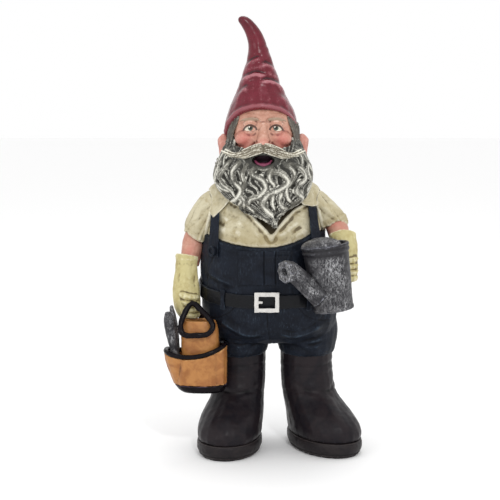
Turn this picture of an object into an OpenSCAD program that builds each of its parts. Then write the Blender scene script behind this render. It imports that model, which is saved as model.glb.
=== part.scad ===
// Garden gnome: a painted figure of cast resin, holding a watering can and a tool bag.
// The castings meet at the edges of the clothes, and steel dowels and rods pin them together.
// +Z is up, the figure faces -Y, and its own right hand is on the -X side.

/* [Figure] */
// Height of the figure, from the soles to the tip of the hat
figure_h = 370; // [250:5:500]
// Wall of the hollow castings
wall = 5; // [4:0.5:6]

/* [Clothes] */
// Height of the belt
belt_h = 12; // [9:0.5:14]
// Width of the buckle's frame
buckle_w = 20.5; // [17:0.5:23]
// Height of the buckle's frame
buckle_h = 16.5; // [14:0.5:18]
// Width of one of the overall's two shoulder straps
strap_w = 9; // [7:0.5:10]
// Width of the pocket on the bib
pocket_w = 43; // [36:1:46]
// Height of the pocket on the bib
pocket_h = 28; // [22:1:30]

/* [Boots] */
// How far the right boot's toe turns out
right_turnout = 10; // [0:1:14]
// How far the left boot's toe turns out
left_turnout = 28; // [20:1:32]
// Thickness of the soles
sole_t = 13; // [10:0.5:13]

/* [Watering can] */
// Radius of the can's body at its foot
can_r = 16.2; // [15:0.1:18]
// Height of the can's body
can_h = 55; // [50:1:57]
// How far the can leans towards the spout
can_lean = 8.2; // [7:0.1:12]

/* [Hardware] */
// Diameter of the steel rods in the neck and the legs
rod_d = 8; // [6:0.5:9]
// Diameter of the steel dowels in the hat and the arms
dowel_d = 4; // [3:0.5:5]

/* [Hidden] */
$fn = 48;

model_h = 370;                 // the height that every figure below is drawn for
plan_centre = [1.2, -16.4, 0];   // middle of the outline on the ground
skin = 2.2;                    // thickness of one layer of clothes
far = 400;                     // longer than the figure

belt_z = 141;                  // height of the belt's middle at the hips
belt_dip = 8;                  // slope of the belt towards the front, in degrees
bib_middle = 178.5;             // top edge of the bib, in the middle

right_leg = [-19.5, 1.5];      // middle of each leg on plan
left_leg = [39, 3.5];

can_foot = [59.2, -55, 128.5];   // middle of the can's foot
can_flare = 3;                 // how much wider the can is at its rim
bag_at = [-50, -32, 55.5];     // middle of the bag's base
rod_clear = 0.05;              // room round each steel rod

// ---- Lofts. A section is [x, y, z, half width, half depth, tilt X, tilt Y, squareness, egg].

function blend(a, b, c, d, t) =
    0.5 * (2 * b + (c - a) * t + (2 * a - 5 * b + 4 * c - d) * t * t
        + (3 * b - a - 3 * c + d) * t * t * t);

// A smooth run of sections through the given ones, with steps of them to each gap
function smooth(s, steps) = let (m = len(s) - 1) concat(
    [for (i = [0 : m - 1], k = [0 : steps - 1])
        blend(s[max(i - 1, 0)], s[i], s[i + 1], s[min(i + 2, m)], k / steps)],
    [s[m]]);

function tilt(v, tx, ty) = let (
    w = [v[0], v[1] * cos(tx) - v[2] * sin(tx), v[1] * sin(tx) + v[2] * cos(tx)])
    [w[0] * cos(ty) + w[2] * sin(ty), w[1], w[2] * cos(ty) - w[0] * sin(ty)];

// The points of one section: an oval, squarer as its squareness goes above 2 and wider in
// front as its egg goes above 0
function section_points(s, n) = [for (i = [0 : n - 1]) let (
    c = cos(360 * i / n), d = sin(360 * i / n),
    k = pow(pow(abs(c), s[7]) + pow(abs(d), s[7]), -1 / s[7]))
    [s[0], s[1], s[2]] + tilt([s[3] * k * c * (1 - s[8] * d), s[4] * k * d, 0], s[5], s[6])];

function grown(s, by) = [for (r = s)
    [r[0], r[1], r[2], max(r[3] + by, 0.6), max(r[4] + by, 0.6), r[5], r[6], r[7], r[8]]];

function skin_faces(m, n) = concat(
    [[for (i = [0 : n - 1]) i]],
    [for (r = [0 : m - 2], i = [0 : n - 1], half = [0, 1]) let (
        a = r * n + i, b = r * n + (i + 1) % n, c = b + n, d = a + n)
        half == 0 ? [a, d, c] : [a, c, b]],
    [[for (i = [n - 1 : -1 : 0]) (m - 1) * n + i]]);

module loft(sections, n = 26, steps = 2) {
    rings = smooth(sections, steps);
    polyhedron([for (s = rings) each section_points(s, n)], skin_faces(len(rings), n), 8);
}

// ---- Sweeps: a round or oval tube along a path.

function unit(v) = v / norm(v);
function heading(p, i, closed) = let (m = len(p))
    closed ? unit(p[(i + 1) % m] - p[(i + m - 1) % m])
    : unit(p[min(i + 1, m - 1)] - p[max(i - 1, 0)]);
function tube_points(p, r, side, n, closed, flat) = [for (i = [0 : len(p) - 1]) let (
    t = heading(p, i, closed), u = unit(cross(side, t)), v = cross(t, u),
    radius = is_list(r) ? r[i] : r)
    each [for (k = [0 : n - 1]) p[i] + radius * (u * cos(360 * k / n) + v * flat * sin(360 * k / n))]];

// side is a direction that the path never runs along, and flat is the tube's height for a width of 1
module sweep(p, r, side = [0, 1, 0], n = 10, closed = false, flat = 1) {
    m = len(p);
    points = tube_points(p, r, side, n, closed, flat);
    if (closed)
        polyhedron(points, [for (i = [0 : m - 1], k = [0 : n - 1], half = [0, 1]) let (
            a = i * n + k, b = i * n + (k + 1) % n,
            c = ((i + 1) % m) * n + (k + 1) % n, d = ((i + 1) % m) * n + k)
            half == 0 ? [a, d, c] : [a, c, b]], 8);
    else
        polyhedron(points, skin_faces(m, n), 8);
}
function along(p, steps) = smooth(p, steps);
function ring_path(p, steps) = let (m = len(p)) [for (i = [0 : m - 1], k = [0 : steps - 1])
    blend(p[(i + m - 1) % m], p[i], p[(i + 1) % m], p[(i + 2) % m], k / steps)];

// One closed casting: its children are cut and joined as a single skin
module casting() { resize([0, 0, 0]) children(); }

// Everything below a plane through the axis at height z, sloping down to the front by dip degrees
module below(z, dip) { translate([0, 0, z]) rotate([dip, 0, 0]) translate([-far / 2, -far / 2, -far]) cube(far); }
module above(z, dip) { translate([0, 0, z]) rotate([dip, 0, 0]) translate([-far / 2, -far / 2, 0]) cube(far); }
// A flat outline in X and Z, carried from y0 to y1
module prism(outline, y0, y1) {
    translate([0, y1, 0]) rotate([90, 0, 0]) linear_extrude(y1 - y0) polygon(outline);
}

// ---- The figure's forms.

body_sections = [
    [ 8,    1,  94.5, 37, 26,   0, 0, 2.2, 0],
    [ 7.5,  0, 100, 49,   35.5, 0, 0, 2.3, 0],
    [ 7,   -1, 110, 54.5, 41,   0, 0, 2.4, 0],
    [ 6.5, -2, 126, 56,   44,   0, 0, 2.3, 0],
    [ 5,   -3, 142, 55,   45.5, 0, 0, 2.2, 0],
    [ 3.5, -4, 158, 54.5, 46.5, 0, 0, 2.2, 0],
    [ 2.5, -3, 174, 52,   44.5, 0, 0, 2.2, 0],
    [ 2, -1.5, 190, 49.5, 41,   0, 0, 2.2, 0],
    [ 2,    1, 204, 47,   36,   0, 0, 2.2, 0],
    [ 2,    3, 215, 45.5, 31,   0, 0, 2.1, 0],
    [ 2,    4, 223, 45,   26.5, 0, 0, 2.1, 0],
    [ 2,    4, 229, 39,   22.5, 0, 0, 2,   0],
    [ 1.5,  4, 234, 27,   18.5, 0, 0, 2,   0],
    [ 1,    4, 238, 17.5, 16.5, 0, 0, 2,   0]
];
module body_form(by = 0) { loft(grown(body_sections, by), 22, 2); }

// The hollow inside the trunk
module trunk_hollow() {
    loft(grown([for (i = [1 : 9]) body_sections[i]], -wall - skin), 18, 1);
}

function leg_sections(at, by = 0) = [
    [at[0], at[1],      72,  19.3 + by, 19.5 + by, 0, 0, 2, 0],
    [at[0], at[1],      79,  20.5 + by, 21 + by,   0, 0, 2, 0],
    [at[0], at[1],      83,  23.7 + by, 24.4 + by, 0, 0, 2, 0],
    [at[0], at[1] - 0.5, 88, 25 + by,   26.2 + by, 0, 0, 2, 0],
    [at[0], at[1] - 1,  95,  26.6 + by, 28 + by,   0, 0, 2, 0],
    [at[0] + (at[0] > 0 ? -0.5 : 1), at[1] - 1, 106,  27 + by,   29 + by,   0, 0, 2, 0],
    [at[0] + (at[0] > 0 ? -2 : 3), at[1] - 1, 118,  26 + by,   29 + by,   0, 0, 2, 0]
];

// All that is under the bib's top edge, which is lowest in the middle and rises to the straps
module under_bib(by = 0) {
    edge = [for (u = [-1 : 0.125 : 1]) [4 + 62 * u, bib_middle + by + min((u < 0 ? 12 : 28) * u * u, 10.5)]];
    prism(concat([[66, 50], [-58, 50]], edge), -80, 80);
}

module overalls() {
    color([0.10, 0.13, 0.19]) placed()
    difference() {
        casting() difference() {
            union() {
                intersection() {
                    body_form(skin);
                    under_bib();
                }
                for (at = [right_leg, left_leg]) loft(leg_sections(at), 20, 2);
            }
            for (side = [-1, 1]) boot_shaft(side, 0.05);
            trunk_hollow();
        }
        leg_rod_bores();
    }
}
// Where the overalls and the boots meet
boot_top = 84;

module shirt() {
    color([0.80, 0.76, 0.64]) placed()
    difference() {
        casting() difference() {
            body_form();
            under_bib();
            trunk_hollow();
            head_form(0.1);
            // The open neck
            intersection() {
                prism([[-27, 217], [-16, 211.5], [-9, 205.5], [-2, 198], [4, 192], [7.5, 187.5], [10, 190], [14, 195.5],
                    [20, 202], [27, 208.5], [35, 212], [35, 240], [-27, 240]], -60, 0);
                difference() {
                    body_form(5);
                    body_form(-2);
                }
            }
        }
        shoulder_dowel_bores();
    }
}

// The collar's shape from in front, with its two points, and its fall round the back of the neck
module collar_outline() {
    prism([[-52, 216], [-52, 236], [-24, 236], [-27, 216], [-33, 209], [-41, 201]], -60, 2.05);
    prism([[26, 236], [54, 236], [54, 211], [44, 210], [35, 212], [28, 219]], -60, 2.05);
    prism([[-54, 211], [54, 211], [54, 236], [-54, 236]], 2, 60);
}
module collar() {
    color([0.82, 0.78, 0.66]) placed()
    casting() difference() {
        intersection() {
            difference() {
                body_form(skin + 0.8);
                body_form(0.05);
            }
            collar_outline();
        }
        head_form(0.1);
        sleeve_form(-1, 0.1);
        sleeve_form(1, 0.1);
    }
}
// The space that the clothes take round the neck
module neck_room() {
    body_form(skin + 0.9);
}

// A band of cloth on the trunk: an outline in X and Z that takes the trunk's own curve
module band(outline, y0, y1, from, to) {
    casting() intersection() {
        difference() {
            body_form(to);
            body_form(from);
        }
        prism(outline, y0, y1);
    }
}

module strap(x_front, x_top, x_back) {
    h = strap_w / 2;
    // Each strap starts on the bib, runs up to the collar and comes down the back
    color([0.11, 0.14, 0.21]) placed()
    casting() difference() {
        intersection() {
            difference() {
                body_form(skin + 1.8);
                body_form(0.05);
            }
            union() {
                prism([[x_front - h, 170], [x_front + h, 170], [x_top + h * 0.6, 232], [x_top - h * 0.6, 232]], -60, 4);
                prism([[x_back - h, 164], [x_back + h, 164], [x_top + h, 232], [x_top - h, 232]], 4, 60);
            }
        }
        intersection() {
            body_form(skin + 0.05);
            under_bib(0.1);
        }
        sleeve_form(-1, 0.1);
        sleeve_form(1, 0.1);
        collar_outline();
        can_solid(0.95);
    }
}
module right_strap() { strap(-41, -38, -14); }
module left_strap() { strap(47, 40, 16); }

button_z = 175;
module strap_buttons() {
    color([0.16, 0.19, 0.26]) placed()
    difference() {
        for (side = [-1, 1])
            translate([side < 0 ? -41.2 : 45.5, side < 0 ? -36.4 : -37, button_z])
                rotate([90, 0, side < 0 ? -46 : 50]) difference() {
                    cylinder(h = 2, d = 8.5);
                    translate([0, 0, 1]) cylinder(h = 3, d = 4.8);
                }
        can_solid(0.95);
    }
}

module bib_pocket() {
    left = 2 - pocket_w / 2;
    right = 2 + pocket_w / 2;
    top = 176.5;
    base = top - pocket_h;
    color([0.12, 0.15, 0.22]) placed()
    band([[left, base], [right, base], [right, top], [left, top]], -60, 0, skin + 0.05, skin + 1.8);
}

module belt() {
    color([0.05, 0.05, 0.06]) placed()
    casting() intersection() {
        difference() {
            body_form(skin + 1.9);
            body_form(skin + 0.05);
        }
        below(belt_z + belt_h / 2, belt_dip);
        above(belt_z - belt_h / 2, belt_dip);
    }
}

loop_x = [-33, 39];
loop_w = 4;
module belt_loops() {
    color([0.14, 0.18, 0.25]) placed()
    casting() for (x = loop_x, back = [0, 1])
        intersection() {
            difference() {
                body_form(skin + 3.2);
                body_form(skin + 1.95);
            }
            below(belt_z + belt_h / 2 + 2.5, belt_dip);
            above(belt_z - belt_h / 2 - 2.5, belt_dip);
            prism([[x - loop_w / 2, 100], [x + loop_w / 2, 100], [x + loop_w / 2, 170], [x - loop_w / 2, 170]],
                back ? 0 : -60, back ? 60 : 0);
        }
}

buckle_at = [4, -52.2, 134.2];
module buckle() {
    bar = 3.4;
    thick = 2.6;
    color([0.80, 0.79, 0.76]) placed()
    translate(buckle_at) rotate([90 - 2, 0, 0]) {
        difference() {
            translate([-buckle_w / 2, -buckle_h / 2, 0]) cube([buckle_w, buckle_h, thick]);
            translate([bar - buckle_w / 2, bar - buckle_h / 2, -1])
                cube([buckle_w - 2 * bar, buckle_h - 2 * bar, thick + 2]);
        }
        // The prong, lying in from the left bar
        translate([-buckle_w / 2 + bar - 0.5, 0, thick / 2]) rotate([0, 90, 0]) cylinder(h = 4, d = 2.2);
    }
}

// ---- Head.

head_sections = [
    [1,  4, 222, 15,   14,   0, 0, 2, 0],
    [1,  3, 236, 16,   16,   0, 0, 2, 0],
    [1, -1, 244, 23,   25,   0, 0, 2.1, 0],
    [1, -1, 254, 27.5, 29.5, 0, 0, 2.2, 0],
    [1,  0, 266, 28.5, 31,   0, 0, 2.2, 0],
    [1,  1, 278, 27.5, 30.5, 0, 0, 2.2, 0],
    [1,  2, 288, 25,   28,   0, 0, 2.1, 0],
    [1,  3, 297, 19,   21,   0, 0, 2, 0],
    [1,  3, 303, 8,    9,    0, 0, 2, 0]
];
module head_form(by = 0) { loft(grown(head_sections, by), 18, 2); }

ear_z = 259;
module ear(side, by = 0) {
    x = 1 + side * 30.6;
    loft(grown([
        [x - side * 1, 3, ear_z - 13 - by, 1.5, 2, 0, side * 8, 2, 0],
        [x + side * 0.6, 2, ear_z - 8, 5.4, 5.4, 0, side * 8, 2, 0],
        [x + side * 1.6, 2, ear_z,    6.6, 7,   0, side * 8, 2, 0],
        [x + side * 3, 3, ear_z + 7,  5.6, 6.5, 0, side * 8, 2, 0],
        [x + side * 3, 4, ear_z + 12 + by, 1.5, 2, 0, side * 8, 2, 0]
    ], by), 12, 2);
}

module head() {
    color([0.80, 0.58, 0.47]) placed()
    difference() {
        casting() union() {
            head_form();
            for (side = [-1, 1]) ear(side);
            // Nose
            loft([
                [1, -30,   261, 3,   3,   0, 0, 2, 0],
                [1, -34,   264, 6.2, 6,   0, 0, 2, 0],
                [1, -32.5, 269, 4.4, 5,   0, 0, 2, 0],
                [1, -30.5, 277, 2.8, 3,   0, 0, 2, 0],
                [1, -29,   281, 1,   1,   0, 0, 2, 0]
            ], 14, 2);
        }
        neck_rod_bore();
        hat_dowel_bore();
    }
}

module hair() {
    color([0.36, 0.33, 0.30]) placed()
    casting() difference() {
        loft([
            [1,  6, 238, 20, 20,   0, 0, 2, 0],
            [1,  5, 246, 28, 27.5, 0, 0, 2.1, 0],
            [1,  4, 258, 32, 31.5, 0, 0, 2.2, 0],
            [1,  4, 270, 31.5, 32, 0, 0, 2.2, 0],
            [1,  4, 280, 29, 30,   0, 0, 2.2, 0]
        ], 22, 2);
        head_form(0.05);
        for (side = [-1, 1]) ear(side, 0.1);
        hat_form();
        neck_room();
        beard_room();
        // The beard starts in front of the ears, and the face stays clear
        translate([-60, -63, 200]) cube([120, 66.3, 62]);
        translate([-27.8, -60, 255]) cube([57.6, 65, 60]);
        translate([-60, -60, 255]) cube([120, 48, 60]);
        // What the hat covers at the back
        translate([-60, 12, 264]) cube([120, 60, 40]);
    }
}
beard_sections = [
    [11.5, -41, 195.5, 3,  3.5, 0, 0, 2, 0],
    [9.5, -36, 201, 10, 11,  0, 0, 2, 0],
    [6.5, -28, 208.5, 21, 20, 0, 0, 2, 0],
    [3, -18, 219, 34.5, 31.5, 0, 0, 2.1, 0],
    [1, -11, 231, 41, 36,    0, 0, 2.2, 0],
    [1,  -9, 242, 40.5, 35.5, 0, 0, 2.2, 0],
    [1,  -7, 254, 36, 33.5,  0, 0, 2.2, 0],
    [1,  -4, 264, 31.5, 31,  0, 0, 2.1, 0],
    [1,  -2, 270, 28.6, 28,  0, 0, 2.1, 0]
];
module beard_form(by = 0) { loft(grown(beard_sections, by), 18, 2); }

// The front of the beard's form, which the hair leaves to it
module beard_room() {
    intersection() {
        beard_form(0.05);
        translate([-60, -96.95, 180]) cube([120, 100, 100]);
    }
}

module beard() {
    color([0.62, 0.61, 0.57]) placed()
    casting() difference() {
        beard_form();
        head_form(0.05);
        neck_room();
        hat_form();
        translate([-60, 3, 180]) cube([120, 60, 100]);
        for (side = [-1, 1]) ear(side, 0.1);
        // The mouth
        translate([1, -38, 250.5]) scale([9.5, 14, 4.2]) sphere(1, $fn = 20);
        // The cheeks stay clear above the moustache
        prism([[-17, 280], [-23.5, 270], [-22, 262], [-8, 258], [1, 261], [10, 258], [24, 262], [25.5, 270], [19, 280]],
            -60, 0);
    }
}

// The moustache: two swept halves from under the nose, out over the beard
module moustache() {
    color([0.80, 0.78, 0.70]) placed()
    casting() difference() {
        for (side = [-1, 1])
            sweep(along([
                [1 - side * 2,  -38,   258.5],
                [1 + side * 7,  -40.5, 257.5],
                [1 + side * 16, -38.5, 254.5],
                [1 + side * 24, -33,   254],
                [1 + side * 30, -26,   258]
            ], 2), [3.2, 4, 4.6, 4.8, 4.6, 4.2, 3.5, 2.6, 1.2], [0, 0, 1], 12);
        beard_form(0.05);
        head_form(0.05);
    }
}

// ---- Hat.

hat_sections = [
    [-1,     3,  240, 31,   34,   0, 0, 2.1, 0],
    [-1,     3,  254, 32,   36,   0, 0, 2.1, 0],
    [-1,     2.5, 268, 31.8, 35.5, 0, 0, 2.1, 0],
    [-0.8,   2,  279, 31,   34,   0, 0, 2.1, 0],
    [-0.6,   2,  291, 27.8, 30.8, 0, 0, 2, 0],
    [-1.4,   2,  304, 21.6, 24,   0, 0, 2, 0],
    [-1.8,   2,  318, 16,   18,   0, 0, 2, 0],
    [-2.2,   2,  331, 11.4, 12.8, 0, 0, 2, 0],
    [-3.4,   2,  343, 8.2,  9.2,  0, -8, 2, 0],
    [-5.8,   1,  352, 7,    7.2,  0, -22, 2, 0],
    [-10,    0,  359.8, 5.8, 5.8, 0, -38, 2, 0],
    [-14.8, -1,  365.4, 4.6, 4.6, 0, -52, 2, 0],
    [-18.4, -1.5, 367.5, 3, 3.1,  0, -60, 2, 0],
    [-20,   -1.6, 368, 1,   1.1,  0, -62, 2, 0]
];

// The brim's edge, seen from the side: high over the forehead and low on the nape
module hat_form() {
    casting() difference() {
        loft(hat_sections, 20, 2);
        translate([-60, 0, 0]) rotate([90, 0, 90]) linear_extrude(120)
            polygon([[-60, 200], [60, 200], [60, 246], [34, 250], [20, 255], [10, 261], [0, 270],
                [-10, 279.5], [-20, 289], [-32, 297.5], [-60, 300]]);
    }
}

module hat() {
    color([0.50, 0.12, 0.17]) placed()
    difference() {
        casting() difference() {
            hat_form();
            head_form(0.05);
            for (side = [-1, 1]) ear(side, 0.1);
            // Room for the hair under the brim
            loft([
                [1, 3, 236, 27.5, 30.5, 0, 0, 2, 0],
                [1, 3, 262, 28.6, 31.6, 0, 0, 2, 0],
                [1, 3, 284, 26.4, 29.6, 0, 0, 2, 0]
            ], 20, 1);
        }
        hat_dowel_bore();
    }
}

// ---- Arms. Each runs down from the shoulder: sleeve, bare forearm, glove.

function sleeve_sections(side) = side < 0 ? [
    [-57.5, -3.5, 183, 11.2, 12.5, 0, 36, 2,   0],
    [-56,   -2.5, 189, 12,   13,   0, 34, 2,   0],
    [-52,   -1,   197, 12.4, 14,   0, 34, 2.1, 0],
    [-46.5,  1,   206, 12,   14.5, 0, 36, 2.1, 0],
    [-42,    3,   213, 10.4, 14,   0, 38, 2,   0],
    [-38,    4,   218, 8,    11,   0, 40, 2,   0]
] : [
    [63.5, -2,  191, 11.5, 12.5, 16, -24, 2,   0],
    [61.5, -0.5, 196, 12,  13,   14, -28, 2,   0],
    [55.5,  1,  202, 12.2, 13.8, 8,  -34, 2.1, 0],
    [49.5,  3,  208, 11.8, 14.5, 0,  -38, 2.1, 0],
    [44.5,  4,  214, 10.4, 14,   0,  -42, 2,   0],
    [40,    4,  219, 8,    11,   0,  -44, 2,   0]
];
module sleeve_form(side, by = 0) { loft(grown(sleeve_sections(side), by), 20, 2); }

function forearm_sections(side) = side < 0 ? [
    [-61.8, -10, 160, 8.2, 8.2, -14, 14, 2, 0],
    [-60.6, -8,  168, 8.8, 8.8, -14, 14, 2, 0],
    [-58.8, -5,  178, 9.4, 9.4, -14, 14, 2, 0],
    [-57,   -3,  186, 8.6, 8.6, -14, 14, 2, 0],
    [-55.5, -1.5, 192, 7,  7,   -14, 14, 2, 0]
] : [
    [67,  -17, 179, 8.4, 8.4, -40, -8, 2, 0],
    [66,  -12, 184, 9,   9,   -40, -8, 2, 0],
    [64.5, -6, 190, 9.6, 9.4, -40, -12, 2, 0],
    [62.5, -1, 195, 8.8, 8.6, -34, -20, 2, 0],
    [60.5,  1, 200, 7,   7,   -20, -26, 2, 0]
];
module forearm_form(side, by = 0) { loft(grown(forearm_sections(side), by), 18, 1); }

function glove_sections(side) = side < 0 ? [
    [-62,   -20, 114.5, 4,    4,    0, 0, 2, 0],
    [-62.5, -20, 117,   8.4,  8,    0, 0, 2, 0],
    [-63.2, -20, 124,   11.2, 10,   0, 0, 2.2, 0],
    [-64,   -18, 134,   12,   10.5, -8, 0, 2.3, 0],
    [-64,   -15, 145,   12,   9.6,  -10, 2, 2.2, 0],
    [-63.4, -12, 154,   11.4, 9.8,  -12, 6, 2.1, 0],
    [-62.8, -10, 161,   11.4, 10.8, -14, 8, 2, 0],
    [-62,   -8.6, 167,  11.6, 11.4, -14, 10, 2, 0]
] : [
    [70,   -27, 146, 3.5,  4,    0, 0, 2, 0],
    [70,   -27, 149, 7.8,  7.6,  0, 0, 2, 0],
    [70,   -26, 156, 10.6, 10,   0, 0, 2.2, 0],
    [70,   -25, 164, 10.8, 10,   -6, 0, 2.2, 0],
    [70,   -22.5, 172, 11,  9.8, -20, -2, 2.1, 0],
    [69.4, -18, 179, 11.4, 10.6, -34, -4, 2, 0],
    [68,   -13.6, 184.4, 12, 11.2, -40, -8, 2, 0]
];
module glove_form(side, by = 0) { loft(grown(glove_sections(side), by), 18, 2); }

module sleeve(side) {
    color([0.82, 0.78, 0.66]) placed()
    difference() {
        casting() difference() {
            sleeve_form(side);
            body_form(skin + 0.05);
            forearm_form(side, 0.05);
            // The open end of the sleeve stands clear of the arm
            intersection() {
                forearm_form(side, 1.6);
                if (side < 0) below(188, 0);
                else below(193, 0);
            }
        }
        arm_dowel_bores(side);
    }
}
module right_sleeve() { sleeve(-1); }
module left_sleeve() { sleeve(1); }

module forearm(side) {
    color([0.80, 0.53, 0.50]) placed()
    difference() {
        casting() difference() {
            forearm_form(side);
            body_form(skin + 0.05);
        }
        arm_dowel_bores(side);
    }
}
module right_forearm() { forearm(-1); }
module left_forearm() { forearm(1); }

module glove(side) {
    color([0.84, 0.79, 0.55]) placed()
    difference() {
        casting() difference() {
            union() {
                glove_form(side);
                // Fingers closed round what the hand holds, and the thumb
                if (side < 0) {
                    for (k = [0 : 3])
                        sweep(along([
                            [-69 + 0.8 * k, -25 + 0.4 * k, 137 - 5.4 * k],
                            [-64.5 + 0.5 * k, -29.6 + 0.6 * k, 135.6 - 5.4 * k],
                            [-58 + 0.3 * k, -28.6 + 0.6 * k, 134.4 - 5.2 * k],
                            [-54.4 + 0.2 * k, -24 + 0.6 * k, 133.8 - 5 * k]], 2),
                            [2.4, 2.9, 3.1, 3.1, 3, 2.8, 2], [0, 0, 1], 8);
                } else {
                    for (k = [0 : 3])
                        sweep(along([
                            [75.6 - 0.4 * k, -22.3, 168.5 - 5.2 * k],
                            [79 - 0.3 * k, -28, 167.5 - 5.2 * k],
                            [76.4, -33.4, 166.8 - 5.2 * k],
                            [71, -34.6, 166.4 - 5 * k]], 2),
                            [2.2, 2.8, 3, 3, 2.9, 2.6, 1.9], [0, 0, 1], 8);
                }
            }
            forearm_form(side, 0.05);
            body_form(skin + 3.3);
            if (side < 0) {
                bag_loop(bag_front_loop, 0.05);
                bag_loop(bag_rear_loop, 0.05);
                bag_body_form(0.05);
            } else {
                can_solid(0.12);
                can_handle_form(0.1);
            }
        }
        arm_dowel_bores(side);
    }
}
module right_glove() { glove(-1); }
module left_glove() { glove(1); }

// ---- Boots. Drawn at the origin with the toe to -Y, then turned out about the leg.

// The foot of each boot also stands a little to the outside of its leg
function foot_out(side) = side < 0 ? -4.5 : 6;
function boot_sections(side) = let (out = foot_out(side)) [
    [out,       -17,   sole_t,      26,   44,   0, 0, 2, 0.12],
    [out,       -17.4, sole_t + 6,  27,   44.2, 0, 0, 2, 0.10],
    [0.9 * out, -16,   sole_t + 13, 26.8, 41.6, 0, 0, 2, 0.06],
    [0.6 * out, -12.4, sole_t + 21, 25.6, 35.4, 0, 0, 2, 0.04],
    [0.3 * out, -6.4,  42.5,        23.6, 28.6, 0, 0, 2, 0],
    [0.1 * out, -2,    51,          22.6, 24.8, 0, 0, 2, 0],
    [0,          0.4,  66,          22.4, 23.2, 0, 0, 2, 0],
    [0,          1,    80,          22.6, 22.8, 0, 0, 2, 0],
    [0,          0.4,  98,          23,   23.4, 0, 0, 2, 0]
];
module boot_form(side, by = 0) { loft(grown(boot_sections(side), by), 22, 2); }
function leg_at(side) = side < 0 ? right_leg : left_leg;
module stand(side) {
    translate([leg_at(side)[0], leg_at(side)[1], 0])
        rotate(side < 0 ? -right_turnout : left_turnout) children();
}
// The wall of the boot round the trouser leg, up to the boot's top
module boot_shaft(side, by = 0) {
    stand(side) difference() {
        intersection() {
            boot_form(side, by);
            below(boot_top + by, 0);
        }
        loft(grown(boot_sections(side), -3 - by), 20, 1);
    }
}

module boot(side) {
    color([0.17, 0.15, 0.16]) placed()
    difference() {
        casting() difference() {
            stand(side) boot_form(side);
            // The mouth of the boot, which the trouser leg fills
            intersection() {
                loft(leg_sections(leg_at(side), 0.05), 20, 2);
                stand(side) loft(grown(boot_sections(side), -3), 20, 1);
            }
            above(boot_top, 0);
            // Each boot gives way to the other at the ankle
            translate([9.6 - (side < 0 ? 0 : far), -far / 2, 0]) cube([far, far, 100]);
        }
        leg_rod_bores();
    }
}
module right_boot() { boot(-1); }
module left_boot() { boot(1); }

drain_d = 8;
module sole(side) {
    outline = section_points([foot_out(side), -17, 0, 27, 45, 0, 0, 2, 0.12], 40);
    welt = section_points([foot_out(side), -17, 0, 26.3, 44.2, 0, 0, 2, 0.12], 40);
    foot = section_points([foot_out(side), -17, 0, 24.4, 42.4, 0, 0, 2, 0.12], 40);
    color([0.12, 0.11, 0.11]) placed()
    stand(side) difference() {
        union() {
            // The edge steps in towards the ground
            linear_extrude(2) polygon([for (p = foot) [p[0], p[1]]]);
            translate([0, 0, 2]) linear_extrude(3) polygon([for (p = welt) [p[0], p[1]]]);
            translate([0, 0, 5]) linear_extrude(sole_t - 5) polygon([for (p = outline) [p[0], p[1]]]);
        }
        // Vent of the casting, which also drains it
        translate([foot_out(side), -16, -1]) cylinder(h = sole_t + 2, d = drain_d);
    }
}
module right_sole() { sole(-1); }
module left_sole() { sole(1); }

// ---- Watering can, drawn upright at its own foot.

module can_place() { translate(can_foot) rotate([0, -can_lean, 0]) children(); }
can_wall = 2;
can_top_r = can_r + can_flare;

module can_solid(by = 0) {
    can_place() translate([0, 0, -by]) cylinder(h = can_h + 2 * by, r1 = can_r + by, r2 = can_top_r + by);
}
module can_body() {
    color([0.24, 0.24, 0.25]) placed()
    can_place() difference() {
        union() {
            cylinder(h = can_h, r1 = can_r, r2 = can_top_r);
            // Foot bead and the two rim beads
            translate([0, 0, 0]) cylinder(h = 2.5, r1 = can_r + 0.4, r2 = can_r + 0.8);
            translate([0, 0, can_h - 2.4]) cylinder(h = 2.4, r = can_top_r + 0.6);
            translate([0, 0, can_h - 6]) cylinder(h = 1.6, r = can_top_r + 0.4);
        }
        translate([0, 0, can_h - 22])
            cylinder(h = 23, r1 = can_top_r - can_wall - 1.2, r2 = can_top_r - can_wall);
    }
}

// The hood over the front of the opening
module can_hood() {
    color([0.26, 0.26, 0.27]) placed()
    can_place() translate([0, 0, can_h + 0.05]) difference() {
        scale([1, 1, 0.3]) sphere(r = can_top_r + 0.2, $fn = 36);
        translate([-50, -50, -50]) cube([100, 100, 50]);
        translate([0, 0, -0.01]) scale([1, 1, 0.26]) sphere(r = can_top_r - can_wall, $fn = 28);
        // Open at the back, over the handle
        rotate(-50) translate([-50, 1, -1]) cube([100, 50, 50]);
    }
}

spout_from = [45, -66.5, 143];
spout_to = [24, -67, 162.6];
spout_dir = unit(spout_to - spout_from);
module spout_form(by = 0) {
    sweep([spout_from - 5 * spout_dir, spout_from, blend(spout_from, spout_from, spout_to, spout_to, 0.5), spout_to],
        [8.8 + by, 8.6 + by, 8 + by, 7.2 + by], [0, 1, 0], 24);
}
// The rose turns from the spout to the left and the front
rose_dir = unit([-0.75, -0.6, -0.04]);
rose_from = spout_to - 3 * rose_dir;
rose_h = 11;
module rose_place() {
    translate(rose_from) rotate([0, acos(rose_dir[2]), atan2(rose_dir[1], rose_dir[0])]) children();
}
module rose_solid(by = 0) {
    translate([0, 0, -by]) cylinder(h = rose_h - 2 + by, r1 = 7.2 + by, r2 = 9.6 + by, $fn = 8);
}
module can_spout() {
    color([0.25, 0.25, 0.26]) placed()
    casting() difference() {
        spout_form();
        can_solid(0.95);
        body_form(skin + 2);
        rose_place() rose_solid(0.08);
    }
}
module can_rose() {
    color([0.27, 0.28, 0.29]) placed()
    rose_place() difference() {
        union() {
            rose_solid();
            translate([0, 0, rose_h - 2]) cylinder(h = 2, r1 = 9.6, r2 = 8.8, $fn = 8);
        }
        // The well behind the face
        translate([0, 0, 4]) cylinder(h = 8, r1 = 2.4, r2 = 4.2, $fn = 8);
    }
}

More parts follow.
